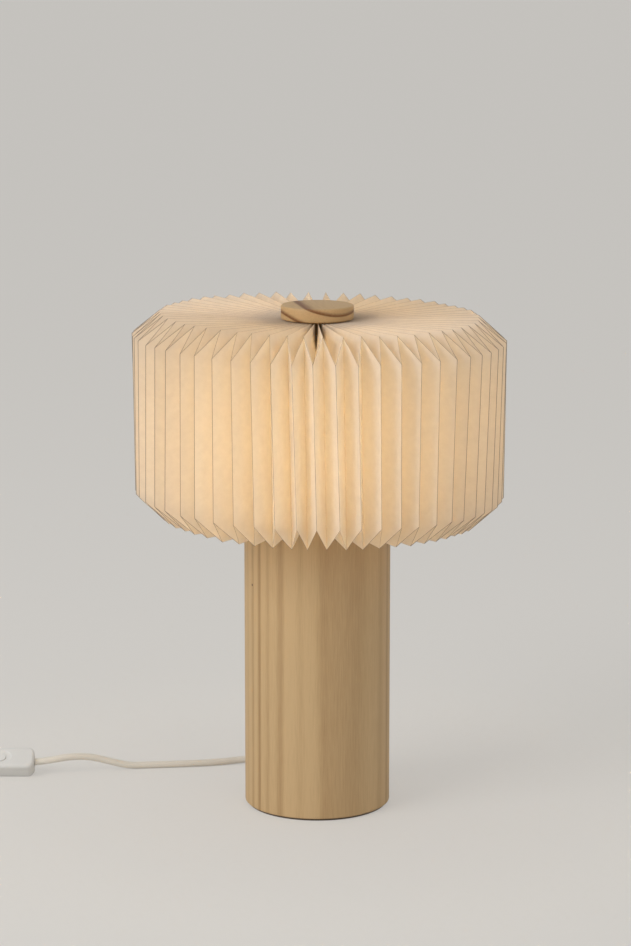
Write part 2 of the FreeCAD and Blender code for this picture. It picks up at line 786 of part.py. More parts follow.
def harp():
    """The wire harp on its saddle, and the stud and seat on top that carry the shade."""
    strip = box("saddle_strip", "harp_span + 2 * saddle_overhang", "saddle_width", "saddle_thickness",
                ("-harp_half - saddle_overhang", "-saddle_width / 2", "column_top"))
    hole = cylinder("saddle_hole", "tube_hole", "saddle_thickness + 2 * cut_margin",
                    ("0", "0", "column_top - cut_margin"))
    keep(cut("harp_saddle", strip, hole), "harp_saddle")

    half, low, high = size("harp_half"), size("saddle_top"), size("harp_top")
    wire = bar("harp_bar", [(-half, 0, low), (-half, 0, high), (half, 0, high), (half, 0, low)],
               size("harp_wire"), size("harp_corner"))
    keep(wire, "harp_wire")

    sleeve = cylinder("ferrule_blank", "harp_wire / 2 + ferrule_wall", "ferrule_height",
                      ("harp_half", "0", "saddle_top"))
    bore = cylinder("ferrule_bore", "harp_wire / 2", "ferrule_height + 2 * cut_margin",
                    ("harp_half", "0", "saddle_top - cut_margin"))
    ferrule = cut("ferrule", sleeve, bore)
    opposite = group("ferrule_opposite", ferrule)
    opposite.Placement = FreeCAD.Placement(V(), FreeCAD.Rotation(UP, 180))
    keep(group("harp_ferrules", ferrule, opposite), "harp_ferrules")

    stud = turned("stud_blank", [
        ("0", "collar_bottom"),
        ("collar_diameter / 2", "collar_bottom"),
        ("collar_diameter / 2", "seat_bottom"),
        ("stud_radius", "seat_bottom"),
        ("stud_radius", "stud_top"),
        ("0", "stud_top"),
    ])
    keep(cut("harp_stud", stud, wire), "harp_stud")
    keep(turned("shade_seat", ring("stud_radius", "seat_diameter / 2", "seat_bottom", "seat_top")),
         "shade_seat")


# ---------------------------------------------------------------- pleated shade


def crease_line(turn, outward):
    """One crease of the shade from the hole in its top to its flange's edge, as two rows of points.

    The first row is the paper's outside and the second its inside. An outward crease stands out on
    the side and becomes a valley on the top; an inward one lies back on the side and becomes a ridge.
    """
    paper, width, count = size("paper_thickness"), size("pleat_width"), size("pleat_count")
    hole, rim, outer = size("hole_radius"), size("rim_radius"), size("outer_radius")
    rim_level = size("rim_level")
    low_ridge = rim_level - size("chamfer_height") - size("side_height")
    low_valley = low_ridge - size("chamfer_height") - size("flange_rise")
    flange_end = rim - size("flange_reach")
    flange_step = math.pi * flange_end / count
    flange_low = low_valley + size("flange_rise")
    if outward:
        edge, top_end, side_foot = outer, size("valley_level"), low_ridge
        top_start = rim_level - size("chamfer_height")
        flange_level = flange_low + math.sqrt(width ** 2 - flange_step ** 2)
    else:
        edge, top_end, side_foot = rim, size("ridge_level"), low_valley
        top_start = rim_level
        flange_level = flange_low

    def fold(radius):
        return min(size("fold_depth"), paper * width * count / (math.pi * radius))

    def on_top(share):
        return hole + (edge - hole) * share, top_end + (top_start - top_end) * share

    def on_flange(share):
        return edge + (flange_end - edge) * share, side_foot + (flange_level - side_foot) * share

    inset = fold(rim)
    outside = [on_top(share) for share in (0, 0.1, 0.35, 1)] + [on_flange(s) for s in (0, 0.5, 1)]
    inside = [(radius, level - fold(radius)) for radius, level in outside[:3]]
    inside.append((edge - inset, top_start - fold(edge)))
    inside.append((edge - inset, side_foot + fold(edge)))
    inside += [(radius, level + fold(radius)) for radius, level in outside[5:]]
    direction = (math.sin(turn), -math.cos(turn))
    return [[V(r * direction[0], r * direction[1], z) for r, z in row] for row in (outside, inside)]


def pleated_strip(first, last):
    """A strip of folded paper from one crease to another, as a closed solid of flat facets."""
    half_step = math.pi / size("pleat_count")
    lines = [crease_line(i * half_step, i % 2 == 0) for i in range(first, last + 1)]
    stations = len(lines[0][0])
    points = [point for line in lines for row in line for point in row]
    facets = []

    def corner(line, row, station):
        return (line * 2 + row) * stations + station

    def quad(a, b, c, d):
        facets.extend([(a, b, c), (a, c, d)])

    for i in range(len(lines) - 1):
        for k in range(stations - 1):
            quad(corner(i, 0, k), corner(i, 0, k + 1), corner(i + 1, 0, k + 1), corner(i + 1, 0, k))
            quad(corner(i, 1, k), corner(i + 1, 1, k), corner(i + 1, 1, k + 1), corner(i, 1, k + 1))
        quad(corner(i, 0, 0), corner(i + 1, 0, 0), corner(i + 1, 1, 0), corner(i, 1, 0))
        end = stations - 1
        quad(corner(i, 1, end), corner(i + 1, 1, end), corner(i + 1, 0, end), corner(i, 0, end))
    for k in range(stations - 1):
        end = len(lines) - 1
        quad(corner(0, 1, k), corner(0, 1, k + 1), corner(0, 0, k + 1), corner(0, 0, k))
        quad(corner(end, 0, k), corner(end, 0, k + 1), corner(end, 1, k + 1), corner(end, 1, k))

    skin = Part.Shape()
    skin.makeShapeFromMesh((points, facets), 0.001)
    solid = Part.Solid(Part.Shell(skin.Faces))
    if solid.Volume < 0:
        solid.reverse()
    return solid.removeSplitter()


def shade():
    """The strips of pleated paper, edge to edge, and the spool and thread that gather them."""
    creases = 2 * int(size("pleat_count"))
    strips = int(size("strip_count"))
    for number in range(strips):
        first, last = creases * number // strips, creases * (number + 1) // strips
        label = f"pleated_strip_{number + 1}"
        keep(fixed(label, pleated_strip(first, last)), label)
    keep(turned("shade_spool", [
        ("stud_radius + stud_clearance", "seat_level"),
        ("spool_flange_diameter / 2", "seat_level"),
        ("spool_flange_diameter / 2", "spool_flange_top"),
        ("hub_diameter / 2", "spool_flange_top"),
        ("hub_diameter / 2", "hub_top"),
        ("stud_radius + stud_clearance", "hub_top"),
    ]), "shade_spool")
    thread = document.addObject("Part::Torus", "gathering_thread")
    thread.setExpression("Radius1", formula("thread_ring"))
    thread.setExpression("Radius2", formula("thread_diameter / 2"))
    keep(moved(thread, ("0", "0", "thread_level")), "gathering_thread")


def knob():
    """The round pine knob and the threaded insert in it."""
    disc = turned("knob_disc", [
        ("insert_radius", "knob_bottom"),
        ("knob_radius", "knob_bottom"),
        ("knob_radius", "knob_top"),
        ("0", "knob_top"),
        ("0", "insert_top"),
        ("insert_radius", "insert_top"),
    ])
    low = at_level(size("knob_bottom"), size("knob_radius"))
    high = at_level(size("knob_top"), size("knob_radius"))
    rounded(disc, "knob_edges", "knob_round", lambda edge: low(edge) or high(edge))
    keep(disc, "knob_disc")
    keep(turned("knob_insert", [
        ("stud_radius + running_gap", "knob_bottom"),
        ("insert_radius", "knob_bottom"),
        ("insert_radius", "insert_top"),
        ("0", "insert_top"),
        ("0", "insert_bore_top"),
        ("stud_radius + running_gap", "insert_bore_top"),
    ]), "knob_insert")


# ---------------------------------------------------------------- switch, cord and plug


def in_switch(label, turn, *pieces):
    """Pieces made about the switch's middle, face up, rolled and moved to where the switch lies."""
    piece = group(label, *pieces)
    piece.Placement = FreeCAD.Placement(V(*SWITCH_PLACE, 0), FreeCAD.Rotation(V(1, 0, 0), 10))
    piece.setExpression("Placement.Rotation.Angle", formula(f"switch_roll + {turn}"))
    piece.setExpression("Placement.Base.z", formula("switch_level"))
    return keep(piece, label)


def switch_shell(name):
    """Half of the switch's casing, its open side down: rounded outside, hollow, a cord hole each end."""
    body = document.addObject("PartDesign::Body", name)
    plan = sketch_on(body, "XY_Plane", name + "_plan")
    outline_in(plan, rectangle("switch_length", "switch_width"))
    pad(body, plan, name + "_pad", "half_thickness")
    rounded(body, name + "_corners", "switch_corner", upright)
    rounded(body, name + "_rim", "switch_round", at_level(size("half_thickness")))
    hollow = sketch_on(body, "XY_Plane", name + "_hollow")
    outline_in(hollow, rectangle("switch_length - 2 * switch_end_wall",
                                 "switch_width - 2 * switch_wall"))
    pocket(body, hollow, name + "_cavity", "switch_ceiling", reverse=True)
    along = V(1, 0, 0)
    cord_hole = cylinder(name + "_cord_hole", "lead_hole", "switch_length + 2 * cut_margin",
                         ("-switch_length / 2 - cut_margin", "0", "0"), along)
    return cut(name + "_bored", body, cord_hole)


def switch():
    """The switch: casing halves, contact block, screws, the cord's ends inside, and the button."""
    dish = document.addObject("Part::Ellipsoid", "dish")
    for side, text in (("Radius1", "dish_depth"), ("Radius2", "dish_length / 2"),
                       ("Radius3", "dish_width / 2")):
        dish.setExpression(side, formula(text))
    moved(dish, ("0", "0", "half_thickness"))
    button_hole = cylinder("button_hole", "button_radius + button_gap", "half_thickness",
                           ("0", "0", "switch_ceiling - cut_margin"))
    in_switch("switch_cover", "0", cut("cover", switch_shell("cover_shell"), dish, button_hole))

    screws = []
    for side in (-1, 1):
        x = f"{side} * switch_screw_spacing / 2"
        shank = cylinder("switch_shank", "switch_screw_diameter / 2",
                         "switch_screw_reach - switch_screw_sink",
                         (x, "0", "-half_thickness + switch_screw_sink"))
        head = cylinder("switch_head", "switch_screw_head / 2", "switch_wall - switch_screw_sink",
                        (x, "0", "-half_thickness + switch_screw_sink"))
        screws.append(joined("switch_screw", head, shank))
    sinks = [cylinder("switch_sink", "switch_screw_head / 2", "switch_screw_sink + cut_margin",
                      (f"{side} * switch_screw_spacing / 2", "0", "-half_thickness - cut_margin"))
             for side in (-1, 1)]
    flipped = group("flipped_shell", switch_shell("base_shell"))
    flipped.Placement = FreeCAD.Placement(V(), FreeCAD.Rotation(V(1, 0, 0), 180))
    in_switch("switch_base", "0", cut("base", flipped, *screws, *sinks))
    block = box("block", "block_length", "block_width", "block_top + switch_ceiling",
                ("-block_length / 2", "-block_width / 2", "-switch_ceiling"))
    in_switch("switch_block", "0", cut("bored_block", block, *screws))
    in_switch("switch_screws", "0", *screws)
    along = V(1, 0, 0)
    in_switch("switch_leads", "0", *[
        cylinder("stub", "cord_radius", "lead_stub", (start, "0", "0"), along)
        for start in ("-switch_length / 2", "switch_length / 2 - lead_stub")
    ])
    in_switch("switch_button", "0", turned("button", [
        ("0", "button_bottom"),
        ("button_radius + button_flange", "button_bottom"),
        ("button_radius + button_flange", "button_bottom + button_flange_thickness"),
        ("button_radius", "button_bottom + button_flange_thickness"),
        ("button_radius", "button_top"),
        ("0", "button_top"),
    ]))


def free_cord():
    """The cord on the table: to the switch, on to the coil, the coil itself and the run to the plug."""
    thick, turn = size("cord_diameter"), math.radians(size("exit_turn"))
    boot_tip, switch_end = size("boot_tip"), size("switch_length") / 2
    start = (-boot_tip * math.sin(turn), boot_tip * math.cos(turn), size("lead_level"))
    switch_x, switch_y = SWITCH_PLACE
    right = (switch_x + switch_end, switch_y, size("switch_level"))
    left = (switch_x - switch_end, switch_y, size("switch_level"))
    plug_end = (PLUG_PLACE[0], PLUG_PLACE[1] + size("plug_boot_length"), size("plug_level"))
    keep(bar("cord_to_switch", [start, *TO_SWITCH, right], thick), "cord_to_switch")
    keep(bar("cord_to_coil", [left, *TO_COIL], thick), "cord_to_coil")
    keep(bar("cord_to_plug", [*TO_PLUG, plug_end], thick), "cord_to_plug")
    coil = turned("coil", ring("coil_middle / 2 - coil_half", "coil_middle / 2 + coil_half", "0",
                               "coil_height"))
    rounded(coil, "coil_edges", "coil_round", lambda edge: isinstance(edge.Curve, Part.Circle))
    lying = group("cord_coil", coil)
    lying.Placement = FreeCAD.Placement(V(*COIL_PLACE, 0), FreeCAD.Rotation())
    keep(lying, "cord_coil")


def on_plug(label, *pieces):
    """Pieces made about the plug's back, moved to where the plug lies."""
    piece = group(label, *pieces)
    piece.Placement = FreeCAD.Placement(V(*PLUG_PLACE, 0), FreeCAD.Rotation())
    piece.setExpression("Placement.Base.z", formula("plug_level"))
    return keep(piece, label)


def plug():
    """The flat two-pin plug: its body, its tapered boot and its pins."""
    body = document.addObject("PartDesign::Body", "plug_shell")
    plan = sketch_on(body, "XY_Plane", "plug_plan")
    back, wide = "plug_back_width / 2", "plug_width / 2"
    outline_in(plan, [
        ("-" + back, "0"), ("-" + wide, "-plug_shoulder"), ("-" + wide, "-plug_length"),
        (wide, "-plug_length"), (wide, "-plug_shoulder"), (back, "0"),
    ])
    pad(body, plan, "plug_pad", "plug_thickness", both_ways=True)
    rounded(body, "plug_edges", "plug_round", lambda edge: True)
    on_plug("plug_body", body)
    on_plug("plug_boot", cone("boot", "cord_radius + plug_boot_wall",
                              "cord_radius + plug_boot_tip_wall", "plug_boot_length", axis=V(0, 1, 0)))
    on_plug("plug_pins", *[
        cylinder("pin", "pin_diameter / 2", "pin_length",
                 (f"{side} * pin_spacing / 2", "-plug_length", "0"), V(0, -1, 0))
        for side in (-1, 1)
    ])


# ---------------------------------------------------------------- build and write

held_by_plate, held_ballast = foot_screws()
column(held_by_plate)
foot(held_by_plate, held_ballast, cord_entry())
column_lid()
lampholder()
bulb()
harp()
shade()
knob()
switch()
free_cord()
plug()
document.recompute()

for made in document.Objects:
    if {"Invalid", "Error"} & set(made.State):
        raise RuntimeError(f"{made.Label} is {made.State}")
for node in nodes:
    if node.Shape.isNull() or not node.Shape.isValid() or not node.Shape.Solids:
        raise RuntimeError(f"{node.Label} has no valid shape")

os.makedirs("parts", exist_ok=True)
for node in nodes:
    node.Shape.exportStep(f"parts/{node.Label}.step")
print(f"{len(nodes)} nodes written")
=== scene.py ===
"""Table lamp with a pleated paper shade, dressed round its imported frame.

Every length is in metres and every place is in the frame's own axes: the origin is on the table at
the column's axis, +Z is up and -Y is the front.
"""
import logging
import math
import random
from collections.abc import Callable, Iterable, Sequence
from dataclasses import dataclass, field
from enum import Enum, IntEnum

import bpy
from mathutils import Matrix, Vector


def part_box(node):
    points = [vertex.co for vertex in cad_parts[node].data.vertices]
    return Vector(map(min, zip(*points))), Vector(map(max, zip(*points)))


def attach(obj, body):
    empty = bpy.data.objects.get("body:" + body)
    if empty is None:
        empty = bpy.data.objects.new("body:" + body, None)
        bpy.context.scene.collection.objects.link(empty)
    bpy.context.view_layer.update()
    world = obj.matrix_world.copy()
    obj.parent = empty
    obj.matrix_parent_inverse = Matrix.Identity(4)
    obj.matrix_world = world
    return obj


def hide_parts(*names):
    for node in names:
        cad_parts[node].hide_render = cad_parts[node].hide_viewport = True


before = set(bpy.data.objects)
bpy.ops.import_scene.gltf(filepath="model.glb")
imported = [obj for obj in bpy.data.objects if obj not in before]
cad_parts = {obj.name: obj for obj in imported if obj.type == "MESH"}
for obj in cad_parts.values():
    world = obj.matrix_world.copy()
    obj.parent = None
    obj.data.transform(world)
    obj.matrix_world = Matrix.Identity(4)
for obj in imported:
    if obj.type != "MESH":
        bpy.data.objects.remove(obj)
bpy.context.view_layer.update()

MM = 0.001
TINY = 1e-6

Point = tuple[float, float, float]
Colour = tuple[float, float, float, float]
Socket = bpy.types.NodeSocket
Tree = bpy.types.NodeTree

log = logging.getLogger("lamp")


class Along(Enum):
    """The axis that a pattern runs along."""

    X = (1.0, 0.0, 0.0)
    Y = (0.0, 1.0, 0.0)
    Z = (0.0, 0.0, 1.0)


class Fold(Enum):
    """Which way a crease of the shade stands on its side."""

    OUTWARD = 0
    INWARD = 1


class Stretch(IntEnum):
    """The part of the folded sheet that a row of corners lies on."""

    TOP = 0
    SIDE = 1
    FLANGE = 2


class LampKind(Enum):
    """What kind of light a studio lamp gives."""

    SOFTBOX = "AREA"
    BULB = "POINT"


class FarEnd(Enum):
    """What a stretch of the cord runs to."""

    FITTING = "fitting"
    PLUG = "plug"


class Lay(Enum):
    """How a stretch of the cord lies."""

    LOOSE = "loose"
    COILED = "coiled"


# ------------------------------------------------------------------------------- small tools


def linear(code: str) -> Colour:
    """Turn an sRGB hex value into the linear colour that a shader takes.

    Args:
        code: A colour such as "#D8C29A".

    Returns:
        Red, green, blue and an alpha of 1.
    """
    channels = [int(code[i:i + 2], 16) / 255 for i in (1, 3, 5)]
    return (*(c / 12.92 if c <= 0.04045 else ((c + 0.055) / 1.055) ** 2.4 for c in channels), 1.0)


def add_node(tree: Tree, kind: str, inputs: dict | None = None,
             **settings: object) -> bpy.types.Node:
    """Add one shader node, set its properties and fill its sockets.

    Args:
        tree: The material's or world's nodes.
        kind: The node's type without the leading "ShaderNode".
        inputs: Socket name or number, to a constant, another node's output, or a node that
            stands for its first output.
        **settings: The node's own properties.

    Returns:
        The new node.
    """
    node = tree.nodes.new("ShaderNode" + kind)
    for name, value in settings.items():
        setattr(node, name, value)
    for socket, value in (inputs or {}).items():
        if isinstance(value, bpy.types.Node):
            value = value.outputs[0]
        if isinstance(value, Socket):
            tree.links.new(value, node.inputs[socket])
        else:
            node.inputs[socket].default_value = value
    return node


# The colour sockets of a Mix node: its share, its two colours and its result.
SHARE, FIRST, SECOND, MIXED = 0, 6, 7, 2


def mesh_piece(name: str, points: Sequence[Vector], faces: Sequence[Sequence[int]],
               uvs: Sequence[tuple[float, float]] | None = None,
               smooth: bool = True) -> bpy.types.Object:
    """Make a mesh object and put it in the scene.

    Args:
        name: The piece's name.
        points: Its corners.
        faces: The corner numbers of each face.
        uvs: One UV place for each corner, kept in a layer called "sheet".
        smooth: Whether its faces are shaded smooth.

    Returns:
        The new object.
    """
    mesh = bpy.data.meshes.new(name)
    mesh.from_pydata([tuple(p) for p in points], [], faces)
    if uvs is not None:
        layer = mesh.uv_layers.new(name="sheet")
        for loop in mesh.loops:
            layer.data[loop.index].uv = uvs[loop.vertex_index]
    mesh.polygons.foreach_set("use_smooth", [smooth] * len(mesh.polygons))
    mesh.update()
    piece = bpy.data.objects.new(name, mesh)
    bpy.context.scene.collection.objects.link(piece)
    return piece


def sharpen(piece: bpy.types.Object, is_sharp: Callable[[int, int], bool]) -> None:
    """Mark the edges that stay crisp under smooth shading.

    Args:
        piece: A mesh object.
        is_sharp: Says whether the edge between two corner numbers is sharp.
    """
    mesh = piece.data
    marks = mesh.attributes.new("sharp_edge", "BOOLEAN", "EDGE")
    marks.data.foreach_set("value", [is_sharp(*edge.vertices) for edge in mesh.edges])


def lathe(name: str, profile: Sequence[tuple[float, float]], place: Matrix, steps: int = 48,
          crisp: float = 30.0) -> bpy.types.Object:
    """Turn a closed profile about the local Z axis.

    Args:
        name: The piece's name.
        profile: (radius, height) corners, from the axis or round a ring.
        place: Where the local axes lie.
        steps: Facets round the axis.
        crisp: The angle in degrees above which an edge is left sharp.

    Returns:
        The new object.
    """
    points, faces, rows = [], [], len(profile)
    for i in range(steps):
        turn = 2 * math.pi * i / steps
        points += [place @ Vector((r * math.cos(turn), r * math.sin(turn), z)) for r, z in profile]
    for i in range(steps):
        ahead = (i + 1) % steps
        faces += [(i * rows + k, ahead * rows + k, ahead * rows + (k + 1) % rows,
                   i * rows + (k + 1) % rows) for k in range(rows)]
    piece = mesh_piece(name, points, faces)
    piece.data.set_sharp_from_angle(angle=math.radians(crisp))
    return piece


def smooth_line(route: Sequence[Point]) -> list[Vector]:
    """Read the line of a NURBS spline whose control points are a route.

    Args:
        route: The control points.

    Returns:
        Points along the smooth line, close together.
    """
    curve = bpy.data.curves.new("route", "CURVE")
    curve.dimensions = "3D"
    spline = curve.splines.new("NURBS")
    spline.points.add(len(route) - 1)
    for knot, place in zip(spline.points, route):
        knot.co = (*place, 1.0)
    spline.order_u = 3
    spline.use_endpoint_u = True
    spline.resolution_u = 10
    holder = bpy.data.objects.new("route", curve)
    bpy.context.scene.collection.objects.link(holder)
    line = bpy.data.meshes.new_from_object(holder)
    points = [vertex.co.copy() for vertex in line.vertices]
    bpy.data.objects.remove(holder)
    bpy.data.curves.remove(curve)
    bpy.data.meshes.remove(line)
    return points


def line_length(line: Sequence[Vector]) -> float:
    """Add up the steps along a line."""
    return sum((b - a).length for a, b in zip(line, line[1:]))


def tube(name: str, line: Sequence[Vector], radius: float, sides: int = 20) -> bpy.types.Object:
    """Wrap a round skin about a line, with UVs in metres along it and turns round it.

    Args:
        name: The piece's name.
        line: The centreline.
        radius: The skin's radius.
        sides: Corners round the skin.

    Returns:
        The new object.
    """
    points, faces, uvs = [], [], []
    run = 0.0
    across = None
    for i, middle in enumerate(line):
        ahead = (line[min(i + 1, len(line) - 1)] - line[max(i - 1, 0)]).normalized()
        across = ahead.orthogonal() if across is None else across - ahead * across.dot(ahead)
        across.normalize()
        other = ahead.cross(across)
        run += (middle - line[i - 1]).length if i else 0.0
        for k in range(sides + 1):
            turn = 2 * math.pi * k / sides
            points.append(middle + (across * math.cos(turn) + other * math.sin(turn)) * radius)
            uvs.append((run, k / sides))
    row = sides + 1
    for i in range(len(line) - 1):
        faces += [(i * row + k, i * row + k + 1, (i + 1) * row + k + 1, (i + 1) * row + k)
                  for k in range(sides)]
    return mesh_piece(name, points, faces, uvs)


# ------------------------------------------------------------------------------- finishes


@dataclass(frozen=True)
class Finish:
    """A material that is made on its first use and shared by every piece that wears it."""

    title: str

    def material(self) -> bpy.types.Material:
        """Make the material, or find it if it has been made.

        Returns:
            The one material of this finish.
        """
        found = bpy.data.materials.get(self.title)
        if found:
            return found
        made = bpy.data.materials.new(self.title)
        made.use_nodes = True
        made.node_tree.nodes.clear()
        surface = self.surface(made.node_tree)
        add_node(made.node_tree, "OutputMaterial", {"Surface": surface})
        return made

    def surface(self, tree: Tree) -> Socket:
        """Add the finish's nodes.

        Args:
            tree: The material's nodes.

        Returns:
            The shader.
        """
        raise NotImplementedError

    def dress(self, *pieces: bpy.types.Object) -> None:
        """Put the material on every slot of some pieces.

        Args:
            *pieces: The objects that wear it.
        """
        for piece in pieces:
            piece.data.materials.clear()
            piece.data.materials.append(self.material())


@dataclass(frozen=True)
class Pine(Finish):
    """Solid pine, turned, sanded and oiled: pale soft bands between narrow darker ones."""

    # Rings of a slow pine are 2 to 4 mm apart. The photograph's are wide ones, cut at a slant.
    light: str = "#CBAC7F"
    dark: str = "#A58358"
    grain: Along = Along.Z
    pith: Point = (-0.16, 0.42, 0.0)
    slant: float = 0.0
    ring_mm: float = 11.0
    late_from: float = 0.3
    late_fade: float = 0.72
    weakest: float = 0.1
    wander_mm: float = 7.0
    drift_mm: float = 71.4
    along_share: float = 0.035
    fibre_mm: float = 0.9
    streaks: tuple[float, float] = (-0.12, 0.2)
    blotches: tuple[float, float] = (-0.1, 0.16)
    pit: Point | None = None
    pit_colour: str = "#5C432B"
    pit_edge_mm: float = 1.5
    pit_core_mm: float = 0.7
    roughness: float = 0.52

    def surface(self, tree: Tree) -> Socket:
        """Rings about the pith, stretched fibres along the grain and a faint open texture.

        Args:
            tree: The material's nodes.

        Returns:
            The shader.
        """
        place = add_node(tree, "TexCoord").outputs["Object"]
        turned = add_node(tree, "VectorRotate", {
            "Vector": place, "Angle": math.radians(self.slant)}, rotation_type="Z_AXIS").outputs[0]
        along = Vector(self.grain.value)
        stretch = tuple(self.along_share if part else 1.0 for part in along)
        drawn_out = add_node(tree, "VectorMath", {0: turned, 1: stretch}, operation="MULTIPLY")
        slow = add_node(tree, "TexNoise", {
            "Vector": drawn_out, "Scale": 1 / (self.drift_mm * MM), "Detail": 3.0, "Roughness": 0.5
        })
        flat = tuple(0.0 if part else 1.0 for part in along)
        offset = add_node(tree, "VectorMath", {0: turned, 1: self.pith}, operation="SUBTRACT")
        level = add_node(tree, "VectorMath", {0: offset, 1: flat}, operation="MULTIPLY")
        reach = add_node(tree, "VectorMath", {0: level}, operation="LENGTH")
        wandered = add_node(tree, "Math", {
            0: slow.outputs["Fac"], 1: self.wander_mm * MM * 2, 2: reach.outputs["Value"]
        }, operation="MULTIPLY_ADD")
        rings = add_node(tree, "Math", {
            0: wandered, 1: 1 / (self.ring_mm * MM)}, operation="MULTIPLY")
        share = add_node(tree, "Math", {0: rings}, operation="FRACT")
        # Latewood darkens slowly towards the end of each year and stops short at the next.
        rise = add_node(tree, "MapRange", {
            "Value": share, "From Min": self.late_from, "From Max": self.late_fade
        }, interpolation_type="SMOOTHSTEP")
        drop = add_node(tree, "MapRange", {
            "Value": share, "From Min": 1.0, "From Max": self.late_fade
        }, interpolation_type="SMOOTHSTEP")
        late = add_node(tree, "Math", {0: rise, 1: drop}, operation="MULTIPLY")
        year = add_node(tree, "Math", {0: rings}, operation="FLOOR")
        strength = add_node(tree, "TexWhiteNoise", {"W": year}, noise_dimensions="1D")
        uneven = add_node(tree, "MapRange", {
            "Value": strength.outputs["Value"], "To Min": self.weakest})
        banded = add_node(tree, "Math", {0: late, 1: uneven}, operation="MULTIPLY")
        # Fibres are 0.04 mm wide in the wood and are drawn coarser here, so that they show.
        fibres = add_node(tree, "TexNoise", {
            "Vector": drawn_out, "Scale": 1 / (self.fibre_mm * MM), "Detail": 4.0, "Roughness": 0.6
        })
        streak = add_node(tree, "MapRange", {
            "Value": fibres.outputs["Fac"], "From Min": 0.35, "From Max": 0.7,
            "To Min": self.streaks[0], "To Max": self.streaks[1]})
        blotch = add_node(tree, "MapRange", {
            "Value": slow.outputs["Fac"], "From Min": 0.35, "From Max": 0.65,
            "To Min": self.blotches[0], "To Max": self.blotches[1]})
        total = add_node(tree, "Math", {0: banded, 1: streak})
        total = add_node(tree, "Math", {0: total, 1: blotch}, use_clamp=True)
        colour = add_node(tree, "Mix", {
            SHARE: total, FIRST: linear(self.light), SECOND: linear(self.dark)
        }, data_type="RGBA").outputs[MIXED]
        if self.pit:
            gap = add_node(tree, "VectorMath", {0: place, 1: self.pit}, operation="DISTANCE")
            spot = add_node(tree, "MapRange", {
                "Value": gap.outputs["Value"], "From Min": self.pit_edge_mm * MM,
                "From Max": self.pit_core_mm * MM})
            colour = add_node(tree, "Mix", {
                SHARE: spot, FIRST: colour, SECOND: linear(self.pit_colour)
            }, data_type="RGBA").outputs[MIXED]
        bump = add_node(tree, "Bump", {
            "Height": fibres.outputs["Fac"], "Strength": 0.12, "Distance": 0.1 * MM})
        return add_node(tree, "BsdfPrincipled", {
            "Base Color": colour, "Roughness": self.roughness, "Normal": bump}).outputs[0]


